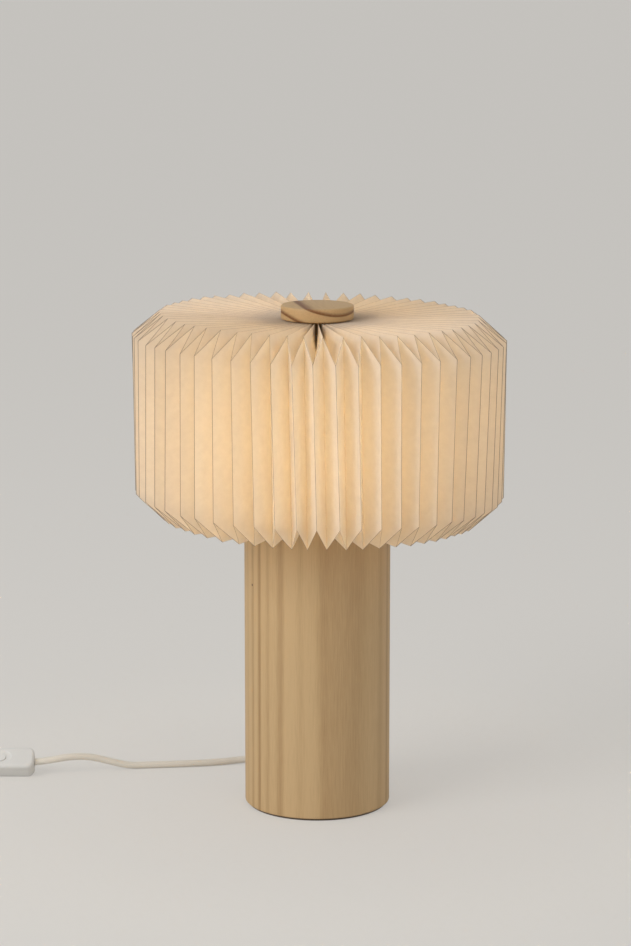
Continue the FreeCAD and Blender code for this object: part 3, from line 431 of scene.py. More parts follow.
@dataclass(frozen=True)
class FoldedPaper(Finish):
    """Heavy cream paper, scored and folded: matt, cloudy in the light, with painted shade and a
    painted highlight at each crease.
    """

    sheet: str = "#F1EDEC"
    lit: str = "#FFF1D6"
    # The colour of the painted shade line at each crease; the paper's cloudy tone also leans to it.
    crease: str = "#8C7F76"
    # The colour of the painted highlight band beside each crease.
    painted_crease_highlight: str = "#F6ECE4"
    pleat_mm: float = 28.0
    painted_shade_line_mm: float = 0.6
    faint_painted_shade_line_mm: float = 0.25
    painted_highlight_mm: float = 2.6
    painted_shade_line_strength: float = 0.85
    painted_highlight_strength: float = 0.6
    cloud_mm: float = 7.7
    cloudiness: float = 0.09
    fibre_mm: float = 1.11
    through: float = 0.55
    corners_mm: tuple[float, ...] = ()

    def surface(self, tree: Tree) -> Socket:
        """Diffuse paper with light coming through it, a painted shade line along each crease and a
        painted highlight band beside it.

        The "sheet" UVs hold the share across the pleat and the run along it in metres.

        Args:
            tree: The material's nodes.

        Returns:
            The shader.
        """
        uv = add_node(tree, "UVMap", uv_map="sheet").outputs[0]
        parts = add_node(tree, "SeparateXYZ", {0: uv})
        half = self.pleat_mm / 2
        centred = add_node(tree, "Math", {
            0: parts, 1: self.pleat_mm, 2: -half}, operation="MULTIPLY_ADD")
        away = add_node(tree, "Math", {0: centred}, operation="ABSOLUTE")
        nearest = add_node(tree, "Math", {0: half, 1: away}, operation="SUBTRACT")
        # The painted shade line is drawn fainter along the inward creases.
        faint = add_node(tree, "MapRange", {
            "Value": parts, "From Min": 0.4, "From Max": 0.6, "To Min": self.painted_shade_line_mm,
            "To Max": self.faint_painted_shade_line_mm})
        line = add_node(tree, "Math", {0: faint, 1: nearest}, operation="SUBTRACT")
        # The painted shade line also runs across the sheet where it bends over the shoulder and the
        # foot.
        for corner in self.corners_mm:
            run = add_node(tree, "Math", {
                0: parts.outputs[1], 1: 1 / MM, 2: -corner}, operation="MULTIPLY_ADD")
            gap = add_node(tree, "Math", {0: run}, operation="ABSOLUTE")
            nearest = add_node(tree, "Math", {0: nearest, 1: gap}, operation="MINIMUM")
            inside = add_node(tree, "Math", {0: self.painted_shade_line_mm, 1: gap}, operation="SUBTRACT")
            line = add_node(tree, "Math", {0: line, 1: inside}, operation="MAXIMUM")
        line = add_node(tree, "MapRange", {
            "Value": line, "From Max": 0.4 * self.painted_shade_line_mm, "To Max": self.painted_shade_line_strength
        }, interpolation_type="SMOOTHSTEP")
        # A painted highlight band runs beside each crease, fading away from it.
        painted_highlight = add_node(tree, "MapRange", {
            "Value": nearest, "From Min": self.painted_highlight_mm, "From Max": self.painted_shade_line_mm,
            "To Max": self.painted_highlight_strength}, interpolation_type="SMOOTHSTEP")
        place = add_node(tree, "TexCoord").outputs["Object"]
        cloud = add_node(tree, "TexNoise", {
            "Vector": place, "Scale": 1 / (self.cloud_mm * MM), "Detail": 5.0, "Roughness": 0.65})
        # The fibres of the pulp are finer than 0.1 mm and are drawn coarser, so that they show.
        fibres = add_node(tree, "TexNoise", {
            "Vector": place, "Scale": 1 / (self.fibre_mm * MM), "Detail": 3.0})
        shade = add_node(tree, "MapRange", {
            "Value": cloud.outputs["Fac"], "From Min": 0.3, "From Max": 0.7,
            "To Max": self.cloudiness})
        # Painted shade lines and painted highlight bands over the cloudy tone; the light through
        # the paper is darkened by the same painted shade.
        colour, glow = linear(self.sheet), linear(self.lit)
        for share, over in ((shade, self.crease), (painted_highlight, self.painted_crease_highlight), (line, self.crease)):
            colour = add_node(tree, "Mix", {
                SHARE: share, FIRST: colour, SECOND: linear(over)}, data_type="RGBA").outputs[MIXED]
        for share in (shade, line):
            glow = add_node(tree, "Mix", {
                SHARE: share, FIRST: glow, SECOND: linear(self.crease)
            }, data_type="RGBA").outputs[MIXED]
        bump = add_node(tree, "Bump", {
            "Height": fibres.outputs["Fac"], "Strength": 0.1, "Distance": 0.1 * MM})
        matt = add_node(tree, "BsdfPrincipled", {
            "Base Color": colour, "Roughness": 0.85, "Specular IOR Level": 0.25, "Normal": bump})
        through = add_node(tree, "BsdfTranslucent", {"Color": glow})
        return add_node(tree, "MixShader", {0: self.through, 1: matt, 2: through}).outputs[0]


@dataclass(frozen=True)
class CottonBraid(Finish):
    """Cream cotton braided over the cord: a lattice of crossing yarns, soft and without gloss, with
    painted shade between them.
    """

    # The yarns cross every 0.8 mm on the real cord and every 1.8 mm here, so that they show.
    yarn: str = "#F4EFE5"
    # The colour of the painted shade in the hollows between the yarns.
    gap: str = "#A4977F"
    lay_mm: float = 29.0
    carriers: int = 8
    fuzz_mm: float = 0.91
    along_uv: bool = True

    def surface(self, tree: Tree) -> Socket:
        """Two families of yarn that cross, from the tube's UVs, or fine noise where it has none.

        Args:
            tree: The material's nodes.

        Returns:
            The shader.
        """
        if self.along_uv:
            uv = add_node(tree, "UVMap", uv_map="sheet").outputs[0]
            parts = add_node(tree, "SeparateXYZ", {0: uv})
            run = add_node(tree, "Math", {
                0: parts, 1: 2 * math.pi * self.carriers / (self.lay_mm * MM)
            }, operation="MULTIPLY")
            families = []
            for way in (1, -1):
                turned = add_node(tree, "Math", {
                    0: parts.outputs[1], 1: way * 2 * math.pi * self.carriers, 2: run
                }, operation="MULTIPLY_ADD")
                families.append(add_node(tree, "Math", {0: turned}, operation="SINE"))
            crossed = add_node(tree, "Math", {0: families[0], 1: families[1]}, operation="MULTIPLY")
            relief = add_node(tree, "Math", {0: crossed}, operation="ABSOLUTE").outputs[0]
        else:
            place = add_node(tree, "TexCoord").outputs["Object"]
            relief = add_node(tree, "TexNoise", {
                "Vector": place, "Scale": 1 / (self.fuzz_mm * MM), "Detail": 2.0}).outputs["Fac"]
        # Painted shade: the low parts between the yarns, or of the fuzz, lean towards the gap
        # colour.
        lightness = add_node(tree, "MapRange", {
            "Value": relief, "From Min": 0.02, "From Max": 0.4, "To Min": 0.35})
        colour = add_node(tree, "Mix", {
            SHARE: lightness, FIRST: linear(self.gap), SECOND: linear(self.yarn)}, data_type="RGBA")
        bump = add_node(tree, "Bump", {"Height": relief, "Strength": 0.5, "Distance": 0.25 * MM})
        return add_node(tree, "BsdfPrincipled", {
            "Base Color": colour.outputs[MIXED], "Roughness": 0.85, "Sheen Weight": 0.25,
            "Normal": bump}).outputs[0]


@dataclass(frozen=True)
class Moulded(Finish):
    """Injection-moulded plastic, or enamel: an even colour, a soft gloss and a very faint skin."""

    colour: str = "#E6E6E4"
    roughness: float = 0.34
    coat: float = 0.0
    clear: float = 0.0
    skin_mm: float = 0.8
    drift_mm: float = 25.0

    def surface(self, tree: Tree) -> Socket:
        """One colour that drifts slightly, and a skin as shallow as the mould's own texture.

        Args:
            tree: The material's nodes.

        Returns:
            The shader.
        """
        place = add_node(tree, "TexCoord").outputs["Object"]
        skin = add_node(tree, "TexNoise", {
            "Vector": place, "Scale": 1 / (self.skin_mm * MM), "Detail": 2.0})
        drift = add_node(tree, "TexNoise", {
            "Vector": place, "Scale": 1 / (self.drift_mm * MM), "Detail": 2.0})
        share = add_node(tree, "MapRange", {
            "Value": drift.outputs["Fac"], "To Min": 0.94, "To Max": 1.06})
        colour = add_node(tree, "VectorMath", {
            0: linear(self.colour)[:3], "Scale": share}, operation="SCALE")
        bump = add_node(tree, "Bump", {
            "Height": skin.outputs["Fac"], "Strength": 0.06, "Distance": 0.1 * MM})
        return add_node(tree, "BsdfPrincipled", {
            "Base Color": colour, "Roughness": self.roughness, "Coat Weight": self.coat,
            "Transmission Weight": self.clear, "Normal": bump}).outputs[0]


@dataclass(frozen=True)
class BareMetal(Finish):
    """Turned, rolled or cast metal: fine scratches or grit, and patches that dull its gloss."""

    colour: str = "#C9C9C6"
    roughness: float = 0.34
    grit_mm: float = 0.5
    patch_mm: float = 11.1
    depth: float = 0.15

    def surface(self, tree: Tree) -> Socket:
        """Metal whose roughness and height vary at the size of its grit.

        Args:
            tree: The material's nodes.

        Returns:
            The shader.
        """
        place = add_node(tree, "TexCoord").outputs["Object"]
        grit = add_node(tree, "TexNoise", {
            "Vector": place, "Scale": 1 / (self.grit_mm * MM), "Detail": 3.0})
        patches = add_node(tree, "TexNoise", {
            "Vector": place, "Detail": 3.0, "Scale": 1 / (self.patch_mm * MM)})
        dulled = add_node(tree, "MapRange", {
            "Value": patches.outputs["Fac"], "To Min": self.roughness - 0.1,
            "To Max": self.roughness + 0.14})
        tint = add_node(tree, "MapRange", {
            "Value": patches.outputs["Fac"], "To Min": 0.88, "To Max": 1.08})
        colour = add_node(tree, "VectorMath", {
            0: linear(self.colour)[:3], "Scale": tint}, operation="SCALE")
        bump = add_node(tree, "Bump", {
            "Height": grit.outputs["Fac"], "Strength": self.depth, "Distance": 0.1 * MM})
        return add_node(tree, "BsdfPrincipled", {
            "Base Color": colour, "Metallic": 1.0, "Roughness": dulled, "Normal": bump}).outputs[0]


@dataclass(frozen=True)
class Grained(Finish):
    """Felt, cast iron, powder coat or bare ceramic: matt, with a grain that catches the light."""

    colour: str = "#6B5B4A"
    second: str = "#4E4236"
    grain_mm: float = 1.2
    roughness: float = 0.9
    depth: float = 0.5
    sheen: float = 0.0

    def surface(self, tree: Tree) -> Socket:
        """Two close colours mixed by the grain that also lifts the surface.

        Args:
            tree: The material's nodes.

        Returns:
            The shader.
        """
        place = add_node(tree, "TexCoord").outputs["Object"]
        grain = add_node(tree, "TexNoise", {
            "Vector": place, "Scale": 1 / (self.grain_mm * MM), "Detail": 5.0, "Roughness": 0.65})
        colour = add_node(tree, "Mix", {
            SHARE: grain.outputs["Fac"], FIRST: linear(self.colour), SECOND: linear(self.second)
        }, data_type="RGBA")
        bump = add_node(tree, "Bump", {
            "Height": grain.outputs["Fac"], "Strength": self.depth, "Distance": 0.3 * MM})
        return add_node(tree, "BsdfPrincipled", {
            "Base Color": colour.outputs[MIXED], "Roughness": self.roughness,
            "Sheen Weight": self.sheen, "Normal": bump}).outputs[0]


@dataclass(frozen=True)
class BlownGlass(Finish):
    """Thin blown glass of the bulb, faintly warm, with the waviness of the blow."""

    tint: str = "#FFF6E6"
    ripple_mm: float = 16.7

    def surface(self, tree: Tree) -> Socket:
        """Clear glass with a slow ripple.

        Args:
            tree: The material's nodes.

        Returns:
            The shader.
        """
        place = add_node(tree, "TexCoord").outputs["Object"]
        ripple = add_node(tree, "TexNoise", {
            "Vector": place, "Detail": 1.0, "Scale": 1 / (self.ripple_mm * MM)})
        bump = add_node(tree, "Bump", {
            "Height": ripple.outputs["Fac"], "Strength": 0.1, "Distance": 0.5 * MM})
        return add_node(tree, "BsdfPrincipled", {
            "Base Color": linear(self.tint), "Roughness": 0.03, "IOR": 1.5,
            "Transmission Weight": 1.0, "Normal": bump}).outputs[0]


@dataclass(frozen=True)
class LitCoating(Finish):
    """The warm phosphor coating of a lit LED filament, brighter at its dots."""

    glow: str = "#FFD08A"
    strength: float = 9.0
    dot_mm: float = 2.0

    def surface(self, tree: Tree) -> Socket:
        """An emitting skin with a row of brighter dots along Z.

        Args:
            tree: The material's nodes.

        Returns:
            The shader.
        """
        place = add_node(tree, "TexCoord").outputs["Object"]
        parts = add_node(tree, "SeparateXYZ", {0: place})
        beat = add_node(tree, "Math", {
            0: parts.outputs[2], 1: 2 * math.pi / (self.dot_mm * MM)}, operation="MULTIPLY")
        wave = add_node(tree, "Math", {0: beat}, operation="SINE")
        power = add_node(tree, "MapRange", {
            "Value": wave, "From Min": -1.0, "To Min": 0.7 * self.strength, "To Max": self.strength
        })
        return add_node(tree, "BsdfPrincipled", {
            "Base Color": linear(self.glow), "Roughness": 0.5, "Emission Color": linear(self.glow),
            "Emission Strength": power}).outputs[0]


@dataclass(frozen=True)
class FloorPaint(Finish):
    """Matt paint of the studio floor, shown to the camera half by its own pale tone."""

    colour: str = "#DEDBD6"
    own_tone: float = 0.5
    grit_mm: float = 3.33

    def surface(self, tree: Tree) -> Socket:
        """A diffuse floor that keeps the shadows, lifted for camera rays.

        Args:
            tree: The material's nodes.

        Returns:
            The shader.
        """
        place = add_node(tree, "TexCoord").outputs["Object"]
        grit = add_node(tree, "TexNoise", {
            "Vector": place, "Scale": 1 / (self.grit_mm * MM), "Detail": 2.0})
        bump = add_node(tree, "Bump", {"Height": grit.outputs["Fac"], "Strength": 0.02})
        paint = add_node(tree, "BsdfPrincipled", {
            "Base Color": linear(self.colour), "Roughness": 0.9, "Normal": bump})
        tone = add_node(tree, "Emission", {"Color": linear(self.colour), "Strength": 1.0})
        path = add_node(tree, "LightPath")
        share = add_node(tree, "Math", {
            0: path.outputs["Is Camera Ray"], 1: self.own_tone}, operation="MULTIPLY")
        return add_node(tree, "MixShader", {0: share, 1: paint, 2: tone}).outputs[0]


# Pine of the column: the pith lies behind it, so the front shows long upright bands.
COLUMN_PINE = Pine("oiled pine, turned column", pit=(-0.0610, -0.0323, 0.2194))
# Pine of the knob: cut across the board, so its edge shows bands that rise and fall.
KNOB_PINE = Pine("oiled pine, turned knob", light="#CBA877", dark="#7E5028", grain=Along.Y,
                 pith=(0.016, 0.0, 0.5529), slant=-11.3, ring_mm=13.8, late_from=0.62,
                 late_fade=0.9, weakest=1.0, wander_mm=1.2)
# The same wood left unoiled, where nothing is seen: paler and dull.
RAW_PINE = Pine("raw pine board", light="#D8C096", dark="#BA9868", pith=(0.2, 0.1, 0.0),
                roughness=0.8)
# A warm white lattice whose edges stay soft.
BRAID = CottonBraid("braided cotton")
BRAID_ENDS = CottonBraid("braided cotton, cut ends", along_uv=False)
# Hard white plastic: a slightly grey white, with the soft highlight of a satin mould.
WHITE_ABS = Moulded("white ABS, satin moulded", colour="#DEDEDC")
# Soft plastics: broader and duller highlights, and the clear one lets its edges glow.
WHITE_RUBBER = Moulded("soft white PVC", colour="#DAD8D2", roughness=0.55)
CLEAR_PVC = Moulded("soft clear PVC", colour="#E9ECEC", roughness=0.3, clear=0.35)
# Stove enamel: a wet-looking coat over white.
WHITE_ENAMEL = Moulded("white stove enamel on steel", colour="#E4E2DC", roughness=0.25, coat=0.5)
THERMOSET = Moulded("white thermoset, moulded", colour="#DAD8D2", roughness=0.45)
# The base's hidden matt pieces: a fine orange peel, wool fuzz, cast grain and bare ceramic.
POWDER_COAT = Grained("black powder-coated steel", colour="#1E1E1E", second="#303030", grain_mm=0.5,
                      roughness=0.55, depth=0.25)
FELT = Grained("pressed wool felt", colour="#6F6152", second="#4B4036", sheen=0.5)
CAST_IRON = Grained("cast iron, as cast", colour="#3A3938", second="#262524", grain_mm=0.8,
                    roughness=0.7)
CERAMIC = Grained("unglazed ceramic", colour="#E6E2D8", second="#D8D2C4", grain_mm=0.6,
                  roughness=0.7, depth=0.15)
BLACK_GLASS = Moulded("black glass insulator", colour="#26221F", roughness=0.12)
# Metals: cool grey, yellow, bright grey and a warmer silver, each with its own fineness.
ZINC = BareMetal("zinc-plated steel")
BRASS = BareMetal("turned brass", colour="#CDA35A", roughness=0.26)
ALUMINIUM = BareMetal("rolled aluminium", colour="#CFCFCC", roughness=0.3)
NICKEL = BareMetal("nickel-plated brass", colour="#C8C4BC", roughness=0.2, depth=0.05)
WAXED_THREAD = CottonBraid("waxed cotton thread", yarn="#EFE9DA", lay_mm=2.5, carriers=2)
GLASS = BlownGlass("blown glass")
PHOSPHOR = LitCoating("lit phosphor coating")


# ------------------------------------------------------------------------------- sub-assemblies


@dataclass
class Construction:
    """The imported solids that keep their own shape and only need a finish."""

    finishes: dict[str, Finish] = field(default_factory=lambda: {
        "column": COLUMN_PINE,
        "column_lid": RAW_PINE,
        "shade_spool": RAW_PINE,
        "bottom_plate": POWDER_COAT,
        "felt_ring": FELT,
        "ballast": CAST_IRON,
        "plate_screws": ZINC,
        "ballast_screws": ZINC,
        "clamp_screws": ZINC,
        "switch_screws": ZINC,
        "threaded_tube": ZINC,
        "tube_washer": ZINC,
        "lower_nut": ZINC,
        "upper_nut": ZINC,
        "harp_saddle": ZINC,
        "harp_wire": WHITE_ENAMEL,
        "harp_ferrules": WHITE_ENAMEL,
        "harp_stud": WHITE_ENAMEL,
        "shade_seat": WHITE_ENAMEL,
        "holder_cap": THERMOSET,
        "holder_body": THERMOSET,
        "holder_core": CERAMIC,
        "thread_sleeve": BRASS,
        "centre_contact": BRASS,
        "knob_insert": BRASS,
        "bulb_tip": BRASS,
        "bulb_glass": GLASS,
        "bulb_insulator": BLACK_GLASS,
        "bulb_stem": GLASS,
        "filaments": PHOSPHOR,
        "cord_gland": CLEAR_PVC,
        "cord_clamp": THERMOSET,
        "inner_lead": BRAID_ENDS,
        "switch_leads": BRAID_ENDS,
        "switch_cover": WHITE_ABS,
        "switch_base": WHITE_ABS,
        "switch_block": THERMOSET,
        "switch_button": WHITE_ABS,
        "plug_body": WHITE_ABS,
        "plug_pins": NICKEL,
    })

    def dress(self) -> None:
        """Give each node that stays its finish."""
        for name, finish in self.finishes.items():
            finish.dress(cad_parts[name])
        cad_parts["bulb_glass"].visible_shadow = False
        log.info("dressed %d packed nodes", len(self.finishes))


@dataclass
class PaperShade:
    """The four strips of pleated paper, folded on one pattern and a little uneven, as by hand."""

    pleats: int = 56
    strips: int = 4
    pleat_width: float = 28 * MM
    hole_radius: float = 22 * MM
    chamfer: float = 22 * MM
    side_height: float = 149 * MM
    ridge_rise: float = 6.3 * MM
    flange_radius: float = 98 * MM
    flange_rise: float = 1.5 * MM
    across: int = 4
    top_rows: int = 9
    side_rows: int = 8
    flange_rows: int = 5
    tilt: float = 0.0198
    tilt_from: float = 45 * MM
    off_centre: float = 2 * MM
    foot_draw: float = 1.6 * MM
    back_turn: float = 0.8
    top_run: float = 135 * MM
    flange_run: float = 65 * MM
    # How far a crease slants in degrees from shoulder to foot: on the whole, and round the shade.
    slant: float = -1.2
    slant_swing: float = 2.5
    bulge: float = 0.7 * MM
    bulge_wave: float = 0.4
    bulge_beat: float = 3.1
    # The turn of each outward crease that shows, at the shoulder, from the left round to the right.
    front_turns: tuple[float, ...] = (
        -82.97, -77.7, -72.4, -64.9, -58.3, -52.5, -45.6, -39.8, -33.1, -26.7, -20.5, -14.4,
        -8.1, -2.0, 4.6, 11.2, 17.9, 24.5, 31.1, 37.9, 44.7, 50.9, 57.2, 63.3, 69.8, 76.1, 82.9)
    middle_pleat: int = 13
    uneven_turn: float = 0.45
    uneven_hole_turn: float = 0.3
    uneven_foot_turn: float = 0.25
    uneven_width: float = 0.06
    uneven_flange: float = 1 * MM
    uneven_level: float = 1.1 * MM
    uneven_radius: float = 0.7 * MM

    def __post_init__(self) -> None:
        """Read the shade's place from the frame and lay out its creases."""
        low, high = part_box("pleated_strip_1")
        self.outer_radius = high[0]
        self.rim_level = high[2]
        self.low_level = low[2]
        half_step = math.pi / self.pleats
        reach = math.sqrt(self.pleat_width ** 2 - (self.outer_radius * math.sin(half_step)) ** 2)
        self.rim_radius = self.outer_radius * math.cos(half_step) - reach
        gather = math.sqrt(self.pleat_width ** 2 - (half_step * self.hole_radius) ** 2)
        self.ridge_level = self.rim_level - self.ridge_rise
        self.valley_level = self.ridge_level - gather
        self.shoulder = self.rim_level - self.chamfer
        self.foot = self.shoulder - self.side_height
        flange_step = half_step * self.flange_radius
        self.flange_low = self.low_level + self.flange_rise
        self.flange_high = self.flange_low + math.sqrt(self.pleat_width ** 2 - flange_step ** 2)
        self.chance = random.Random(56)
        self.turns = self.crease_turns()
        self.creases = [self.crease(number) for number in range(2 * self.pleats)]

    def crease_turns(self) -> list[float]:
        """Give the turn of every crease in degrees, counted from the one nearest the front.

        Returns:
            Turns of the outward creases at even numbers and of the inward ones between them.
        """
        first, last = self.front_turns[0] + 360, self.front_turns[-1]
        behind = self.pleats - len(self.front_turns)
        step = (first - last) / (behind + 1)
        outward = list(self.front_turns[self.middle_pleat:])
        outward += [last + step * (k + 1) + self.chance.uniform(-1, 1) * self.uneven_turn
                    + self.back_turn * math.sin(math.pi * (k + 1) / (behind + 1))
                    for k in range(behind)]
        outward += [turn + 360 for turn in self.front_turns[:self.middle_pleat]]
        turns = []
        for here, ahead in zip(outward, outward[1:] + [outward[0] + 360]):
            share = 0.5 + self.chance.uniform(-self.uneven_width, self.uneven_width)
            turns += [here, here + (ahead - here) * share]
        return turns

    def crease(self, number: int) -> list[tuple[float, float, float]]:
        """Lay one crease from the hole to the flange's edge.

        Args:
            number: The crease, even for an outward one.

        Returns:
            (turn in degrees, radius, level) at the hole, the shoulder, the foot and the flange.
        """
        turn = self.turns[number]
        even = self.turns[0] + number * 180 / self.pleats
        lean = self.slant + self.slant_swing * math.cos(math.radians(2 * turn))

        def off(amount: float) -> float:
            """Draw a small difference, up to an amount either way."""
            return self.chance.uniform(-1, 1) * amount

        if Fold(number % 2) is Fold.OUTWARD:
            radius, top, shoulder = self.outer_radius, self.valley_level, self.shoulder
            foot, flange = self.foot, self.flange_high
            radius -= abs(off(self.uneven_radius))
        else:
            radius, top, shoulder = self.rim_radius, self.ridge_level, self.rim_level
            foot, flange = self.low_level, self.flange_low
            radius += off(self.uneven_radius)
        shoulder -= abs(off(self.uneven_level))
        return [
            ((turn + even) / 2 + off(self.uneven_hole_turn), self.hole_radius, top),
            (turn, radius, shoulder),
            (turn + lean + off(self.uneven_foot_turn), radius - self.foot_draw,
             foot + abs(off(self.uneven_level))),
            ((turn + even) / 2 + lean / 2, self.flange_radius + off(self.uneven_flange),
             flange + off(self.uneven_flange)),
        ]

    def settled(self, turn: float, radius: float, level: float) -> Vector:
        """Turn a place on the shade into a point, with the lean of the whole shade.

        Args:
            turn: Degrees from the front, towards +X.
            radius: Distance from the axis.
            level: Height above the table.

        Returns:
            The point.
        """
        angle = math.radians(turn)
        x, y = radius * math.sin(angle), -radius * math.cos(angle)
        share = min(1.0, max(0.0, (radius - self.tilt_from) / (self.rim_radius - self.tilt_from)))
        return Vector((x + self.off_centre * share, y, level - self.tilt * x * share))

    def rows(self) -> list[tuple[Stretch, float, float]]:
        """List the rows of the sheet from the hole outwards.

        Returns:
            The stretch, the share along it and the run in metres, for each row.
        """
        counts = (self.top_rows, self.side_rows, self.flange_rows)
        lengths = (self.top_run, self.side_height + self.chamfer, self.flange_run)
        listed, run = [], 0.0
        for stretch, count, length in zip(Stretch, counts, lengths):
            listed += [(stretch, k / count, run + length * k / count) for k in range(count)]
            run += length
        listed.append((Stretch.FLANGE, 1.0, run))
        return listed

    def corners_mm(self) -> tuple[float, ...]:
        """Give the run in millimetres at which the sheet turns over the shoulder and the foot."""
        return tuple(run / MM for stretch, share, run in self.rows()
                     if stretch is not Stretch.TOP and share == 0.0)

    def facet(self, number: int, share: float, row: tuple[Stretch, float, float],
              lift: float) -> Vector:
        """Place a point on the facet between two creases.

        Args:
            number: The crease at the facet's left.
            share: How far across the facet.
            row: One of rows().
            lift: How far the facet's middle stands off its flat.

        Returns:
            The point.
        """
        stretch, along, _ = row
        sides = []
        for crease in (number, number + 1):
            stations = self.creases[crease % (2 * self.pleats)]
            around = 360.0 if crease >= 2 * self.pleats else 0.0
            (turn, radius, level), (turn_b, radius_b, level_b) = stations[stretch:stretch + 2]
            start = self.settled(turn + around, radius, level)
            sides.append(start.lerp(self.settled(turn_b + around, radius_b, level_b), along))
        left, right = sides
        flat = left.lerp(right, share)
        outward = Vector((flat.x, flat.y, 0)).normalized()
        upright = Vector((0, 0, 1)) if stretch is Stretch.SIDE else outward
        normal = (right - left).cross(upright)
        if normal.length < TINY:
            return flat
        wave = 1 - self.bulge_wave + self.bulge_wave * math.sin(self.bulge_beat * along + number)
        return flat + normal.normalized() * (lift * 4 * share * (1 - share) * wave)

    def strip(self, name: str, first: int, last: int) -> bpy.types.Object:
        """Fold one strip of the sheet.

        Args:
            name: The piece's name.
            first: Its first crease.
            last: Its last crease.

        Returns:
            The strip's mesh.
        """
        rows = self.rows()
        points, uvs = [], []
        for number in range(first, last):
            lift = self.chance.uniform(-1, 1) * self.bulge
            for k in range(self.across + (number == last - 1)):
                share = k / self.across
                points += [self.facet(number, share, row, lift) for row in rows]
                from_ridge = share if Fold(number % 2) is Fold.OUTWARD else 1 - share
                uvs += [(from_ridge, row[2]) for row in rows]
        count = len(rows)
        columns = len(points) // count
        faces = [(c * count + k, c * count + k + 1, (c + 1) * count + k + 1, (c + 1) * count + k)
                 for c in range(columns - 1) for k in range(count - 1)]
        piece = mesh_piece(name, points, faces, uvs)
        bends = {k for k, row in enumerate(rows)
                 if row[0] is not Stretch.TOP and row[1] == 0.0}

        def is_sharp(a: int, b: int) -> bool:
            """Say whether two corners are on one crease, or on one bend across the sheet.

            Args:
                a: The first corner's number.
                b: The second corner's number.

            Returns:
                Whether the edge between them is sharp.
            """
            same_column = a // count == b // count
            on_crease = same_column and (a // count) % self.across == 0
            return on_crease or (not same_column and a % count in bends)

        sharpen(piece, is_sharp)
        return piece

    def build(self) -> None:
        """Fold the strips and dress them."""
        paper = FoldedPaper("heavy cream paper, folded", corners_mm=self.corners_mm())
        share = 2 * self.pleats // self.strips
        for number in range(self.strips):
            name = f"pleated_strip_{number + 1}"
            piece = self.strip("paper_" + name, number * share, (number + 1) * share)
            paper.dress(piece)
            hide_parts(name)
            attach(piece, "shade")
            log.info("folded %s with %d corners", piece.name, len(piece.data.vertices))


@dataclass
class Gathering:
    """The waxed thread wound round the spool, which holds the pleats together."""

    turns: int = 4
    radius: float = 0.5 * MM
    pitch: float = 1.1 * MM
    steps: int = 24

    def build(self) -> None:
        """Wind the thread."""
        low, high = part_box("gathering_thread")
        level = (low[2] + high[2]) / 2
        ring = (high[0] - low[0]) / 2 - self.radius
        line = []
        for i in range(self.steps * self.turns + 1):
            turn = i / self.steps
            line.append(Vector((ring * math.cos(2 * math.pi * turn),
                                ring * math.sin(2 * math.pi * turn),
                                level + self.pitch * (turn - self.turns / 2))))
        piece = tube("thread_windings", line, self.radius, sides=8)
        WAXED_THREAD.dress(piece)
        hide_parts("gathering_thread")
        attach(piece, "shade")
        log.info("wound %s", piece.name)


@dataclass
class Knob:
    """The turned disc on top, flat, with sharp edges only just broken by sanding."""

    edge: float = 1.6 * MM
    steps: int = 5

    def build(self) -> None:
        """Turn the disc, with the hole for its brass insert."""
        low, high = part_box("knob_disc")
        hole = (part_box("knob_insert")[1][0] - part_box("knob_insert")[0][0]) / 2
        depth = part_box("knob_insert")[1][2]
        radius = (high[0] - low[0]) / 2
        profile = [(hole, low[2])]
        for middle, start in ((low[2] + self.edge, -90), (high[2] - self.edge, 0)):
            for k in range(self.steps + 1):
                turn = math.radians(start + 90 * k / self.steps)
                profile.append((radius - self.edge + self.edge * math.cos(turn),
                                middle + self.edge * math.sin(turn)))
        profile += [(0.0, high[2]), (0.0, depth), (hole, depth)]
        piece = lathe("knob_disc_turned", profile, Matrix.Identity(4), steps=96, crisp=35)
        KNOB_PINE.dress(piece)
        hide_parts("knob_disc")
        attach(piece, "knob")
        log.info("turned %s", piece.name)


@dataclass
class BulbCap:
    """The bulb's rolled aluminium cap, with the round thread that the plain solid stands for."""

    pitch: float = 3.6 * MM
    depth: float = 0.55 * MM
    plain_foot: float = 0.08
    plain_top: float = 0.2
    steps: int = 40
    rows: int = 60

    def build(self) -> None:
        """Roll the thread into the cap's wall."""
        low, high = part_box("bulb_cap")
        radius, bottom, height = high[0], low[2], high[2] - low[2]
        points, faces = [], []
        for j in range(self.rows + 1):
            share = j / self.rows
            level = bottom + height * share
            ends = min(1.0, share / self.plain_foot, (1 - share) / self.plain_top)
            for i in range(self.steps):
                turn = 2 * math.pi * i / self.steps
                wave = 0.5 + 0.5 * math.cos(2 * math.pi * (level - bottom) / self.pitch - turn)
                here = radius - self.depth * (1 - wave * ends)
                points.append(Vector((here * math.cos(turn), here * math.sin(turn), level)))
        for j in range(self.rows):
            faces += [(j * self.steps + i, j * self.steps + (i + 1) % self.steps,
                       (j + 1) * self.steps + (i + 1) % self.steps, (j + 1) * self.steps + i)
                      for i in range(self.steps)]
        piece = mesh_piece("bulb_cap_rolled", points, faces)
        ALUMINIUM.dress(piece)
        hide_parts("bulb_cap")
        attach(piece, "bulb")
        log.info("rolled %s", piece.name)


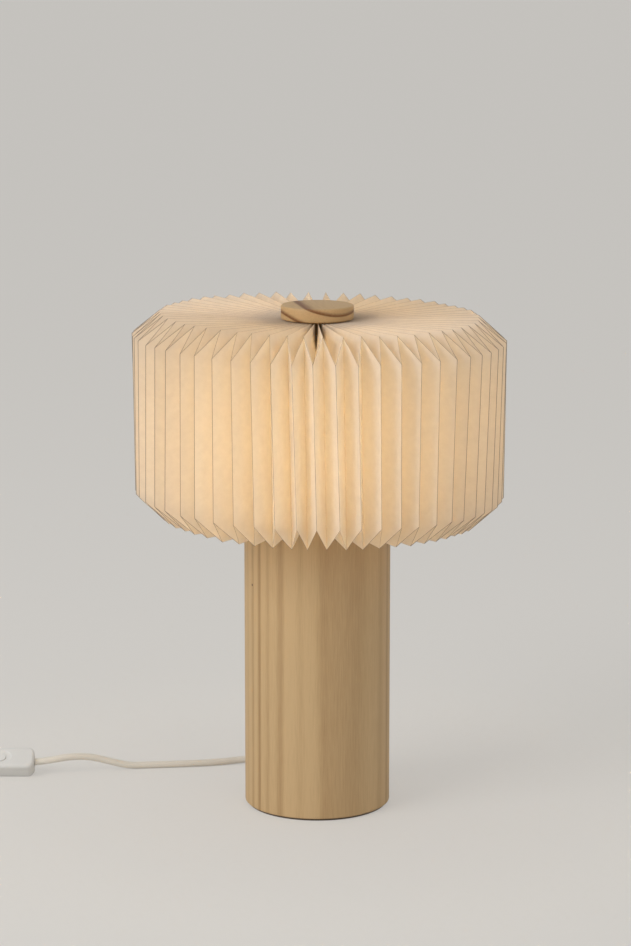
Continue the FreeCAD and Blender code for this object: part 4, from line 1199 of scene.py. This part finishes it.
@dataclass
class Cord:
    """The braided cord: from the column to the switch, then by its coil to the plug."""

    diameter: float = 6.8 * MM
    to_switch: tuple[Point, ...] = (
        (-0.0308, 0.0846, 0.0120), (-0.0380, 0.1036, 0.0106), (-0.0530, 0.1156, 0.0068),
        (-0.0735, 0.1204, 0.0044), (-0.0995, 0.1126, 0.0035), (-0.1340, 0.1072, 0.0035),
        (-0.1680, 0.1036, 0.0035), (-0.1870, 0.1002, 0.0039), (-0.2050, 0.0972, 0.0090),
        (-0.2250, 0.0924, 0.0156), (-0.2450, 0.0866, 0.0172), (-0.2620, 0.0820, 0.0150),
        (-0.2790, 0.0810, 0.0132))
    to_coil: tuple[Point, ...] = (
        (-0.3450, 0.0810, 0.0132), (-0.3620, 0.0813, 0.0130), (-0.3830, 0.0830, 0.0116),
        (-0.4040, 0.0849, 0.0104))
    to_plug: tuple[Point, ...] = (
        (-0.4714, 0.0300, 0.0035), (-0.4728, 0.0100, 0.0039), (-0.4725, -0.0100, 0.00685))
    coil_middle: tuple[float, float] = (-0.425, 0.042)
    coil_radii: tuple[float, ...] = (0.0466, 0.0397, 0.0328, 0.0328, 0.0397, 0.0466)
    coil_levels: tuple[float, ...] = (0.01035, 0.01035, 0.01035, 0.0035, 0.0035, 0.0035)
    coil_start: float = 88.0
    coil_end: float = 172.0
    coil_step: float = 22.5
    step_over_from: float = 0.75
    switch: tuple[str, ...] = ("switch_cover", "switch_base", "switch_button", "switch_block",
                               "switch_screws", "switch_leads")

    def coil(self) -> list[Point]:
        """Wind the put-away length, from the top outside turn in, down, and out at the bottom.

        Returns:
            The points of the coil's turns.
        """
        total = 360 * (len(self.coil_radii) - 1) + self.coil_end - self.coil_start
        count = round(total / self.coil_step)
        points = []
        for i in range(count + 1):
            angle = total * i / count
            turn, share = divmod(angle / 360, 1)
            here = int(turn)
            ahead = min(here + 1, len(self.coil_radii) - 1)
            step = max(0.0, (share - self.step_over_from) / (1 - self.step_over_from))
            ease = step * step * (3 - 2 * step)
            radius, level = (kept[here] + (kept[ahead] - kept[here]) * ease
                             for kept in (self.coil_radii, self.coil_levels))
            way = math.radians(self.coil_start + angle)
            points.append((self.coil_middle[0] + radius * math.cos(way),
                           self.coil_middle[1] + radius * math.sin(way), level))
        return points

    def lay(self, name: str, route: Sequence[Point], nodes: Iterable[str],
            far_end: FarEnd, lay: Lay, pieces: Sequence[str]) -> None:
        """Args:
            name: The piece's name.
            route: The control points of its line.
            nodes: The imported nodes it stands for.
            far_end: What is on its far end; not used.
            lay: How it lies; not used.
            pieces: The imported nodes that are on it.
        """
        line = smooth_line(route)
        piece = tube(name, line, self.diameter / 2)
        BRAID.dress(piece)
        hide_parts(*nodes)
        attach(piece, "base")
        length = line_length(line)
        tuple(route[0])
        [tuple(p) for p in line]
        [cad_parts[node] for node in pieces]
        log.info("laid %s, %.0f mm long", name, length / MM)

    def build(self) -> None:
        """Lay both stretches."""
        self.lay("cord_switch_run", self.to_switch, ["cord_to_switch"], FarEnd.FITTING,
                 Lay.LOOSE, self.switch)
        self.lay("cord_plug_run", [*self.to_coil, *self.coil(), *self.to_plug],
                 ["cord_to_coil", "cord_coil", "cord_to_plug"], FarEnd.PLUG, Lay.COILED,
                 ["plug_body", "plug_pins"])


@dataclass
class PlugBoot:
    """The soft boot where the cord enters the plug, ribbed so that it bends."""

    ribs: int = 6
    rib_steps: int = 8
    bore: float = 3.4 * MM
    tip_wall: float = 0.6 * MM
    groove: float = 0.35 * MM

    def build(self) -> None:
        """Turn the boot's ribs on its taper."""
        low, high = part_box("plug_boot")
        middle = ((low[0] + high[0]) / 2, (low[2] + high[2]) / 2)
        length = high[1] - low[1]
        wide, narrow = (high[0] - low[0]) / 2, self.bore + self.tip_wall
        profile = [(self.bore, 0.0)]
        steps = self.ribs * self.rib_steps
        for i in range(steps + 1):
            share = i / steps
            groove = self.groove * (1 - math.cos(2 * math.pi * self.ribs * share))
            taper = wide + (narrow - wide) * share
            profile.append((max(self.bore, taper - groove * (1 - 0.5 * share)), length * share))
        profile.append((self.bore, length))
        place = Matrix.Translation((middle[0], low[1], middle[1])) @ Matrix.Rotation(
            math.radians(-90), 4, "X")
        piece = lathe("plug_boot_ribbed", profile, place, steps=32, crisp=60)
        WHITE_RUBBER.dress(piece)
        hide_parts("plug_boot")
        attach(piece, "base")
        log.info("turned %s", piece.name)


@dataclass
class Studio:
    """The floor, the lamps, the world and the camera."""

    distance: float = 2.725
    height: float = 0.854
    side: float = -0.0017
    pitch: float = 11.09
    lens: float = 112.34
    film: float = 36.0
    floor_size: float = 90.0
    floor_colour: str = "#DEDBD6"
    backdrop: str = "#C3C1BE"
    ambient: float = 0.5
    key_power: float = 32.0
    fill_power: float = 6.0
    aim: Point = (0.0, 0.0, 0.25)
    bulb_power: float = 0.69
    bulb_colour: tuple[float, float, float] = (1.0, 0.89, 0.64)

    def floor(self) -> None:
        """Lay the plain pale floor."""
        half = self.floor_size / 2
        piece = mesh_piece("floor", [Vector(p) for p in ((-half, -half, 0), (half, -half, 0),
                                                         (half, half, 0), (-half, half, 0))],
                           [(0, 1, 2, 3)], smooth=False)
        FloorPaint("matt painted board", colour=self.floor_colour).dress(piece)

    def world(self) -> None:
        """Light everything evenly, and show the camera, gloss and glass a pale backdrop."""
        world = bpy.data.worlds.new("studio")
        world.use_nodes = True
        tree = world.node_tree
        tree.nodes.clear()
        path = add_node(tree, "LightPath")
        seen = add_node(tree, "Math", {
            0: path.outputs["Is Camera Ray"], 1: path.outputs["Is Glossy Ray"]
        }, operation="MAXIMUM")
        seen = add_node(tree, "Math", {
            0: seen, 1: path.outputs["Is Transmission Ray"]}, operation="MAXIMUM")
        soft = add_node(tree, "Background", {"Color": linear("#FFFFFF"), "Strength": self.ambient})
        pale = add_node(tree, "Background", {"Color": linear(self.backdrop), "Strength": 1.0})
        mixed = add_node(tree, "MixShader", {0: seen, 1: soft, 2: pale})
        add_node(tree, "OutputWorld", {"Surface": mixed})
        bpy.context.scene.world = world

    def lamp(self, name: str, kind: LampKind, place: Point, power: float,
             colour: tuple[float, float, float] = (1.0, 1.0, 1.0), size: float = 1.0) -> None:
        """Hang one lamp, aimed at the middle of the object if it has a face.

        Args:
            name: The lamp's name.
            kind: What kind of light it gives.
            place: Where it hangs.
            power: Its power in watts.
            colour: Its light's colour.
            size: An area lamp's side, or a point lamp's radius.
        """
        light = bpy.data.lights.new(name, kind.value)
        light.energy = power
        light.color = colour
        if kind is LampKind.SOFTBOX:
            light.size = size
        else:
            light.shadow_soft_size = size
        lamp = bpy.data.objects.new(name, light)
        lamp.location = place
        aim = Vector(self.aim) - Vector(place)
        lamp.rotation_euler = aim.to_track_quat("-Z", "Y").to_euler()
        lamp.visible_camera = False
        bpy.context.scene.collection.objects.link(lamp)

    def lights(self) -> None:
        """Hang the soft studio lamps and light the bulb."""
        self.lamp("key", LampKind.SOFTBOX, (-1.9, -1.5, 1.5), self.key_power, (1.0, 0.98, 0.95),
                  size=1.6)
        self.lamp("fill", LampKind.SOFTBOX, (1.6, -2.2, 1.0), self.fill_power, (1.0, 0.98, 0.96),
                  size=1.8)
        low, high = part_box("bulb_glass")
        globe = (high[0] - low[0]) / 2
        self.lamp("bulb_light", LampKind.BULB, (0, 0, high[2] - globe), self.bulb_power,
                  self.bulb_colour, globe * 0.9)

    def camera(self) -> None:
        """Set the camera where the photograph was taken from."""
        camera = bpy.data.cameras.new("photograph")
        camera.sensor_fit = "VERTICAL"
        camera.sensor_height = self.film
        camera.lens = self.lens
        camera.clip_end = 50
        holder = bpy.data.objects.new("photograph", camera)
        holder.location = (self.side, -self.distance, self.height)
        holder.rotation_euler = (math.radians(90 - self.pitch), 0, 0)
        bpy.context.scene.collection.objects.link(holder)
        bpy.context.scene.camera = holder

    def build(self) -> None:
        """Set up the whole studio."""
        bpy.context.scene.view_settings.view_transform = "Standard"
        self.camera()
        self.floor()
        self.world()
        self.lights()
        log.info("studio ready")


def main() -> None:
    """Build the lamp's pieces in order and log each one, with the cords' lengths."""
    logging.basicConfig(level=logging.INFO, format="%(name)s: %(message)s")
    Studio().build()
    Cord().build()
    Construction().dress()
    PaperShade().build()
    Gathering().build()
    Knob().build()
    BulbCap().build()
    PlugBoot().build()


if __name__ == "__main__":
    main()
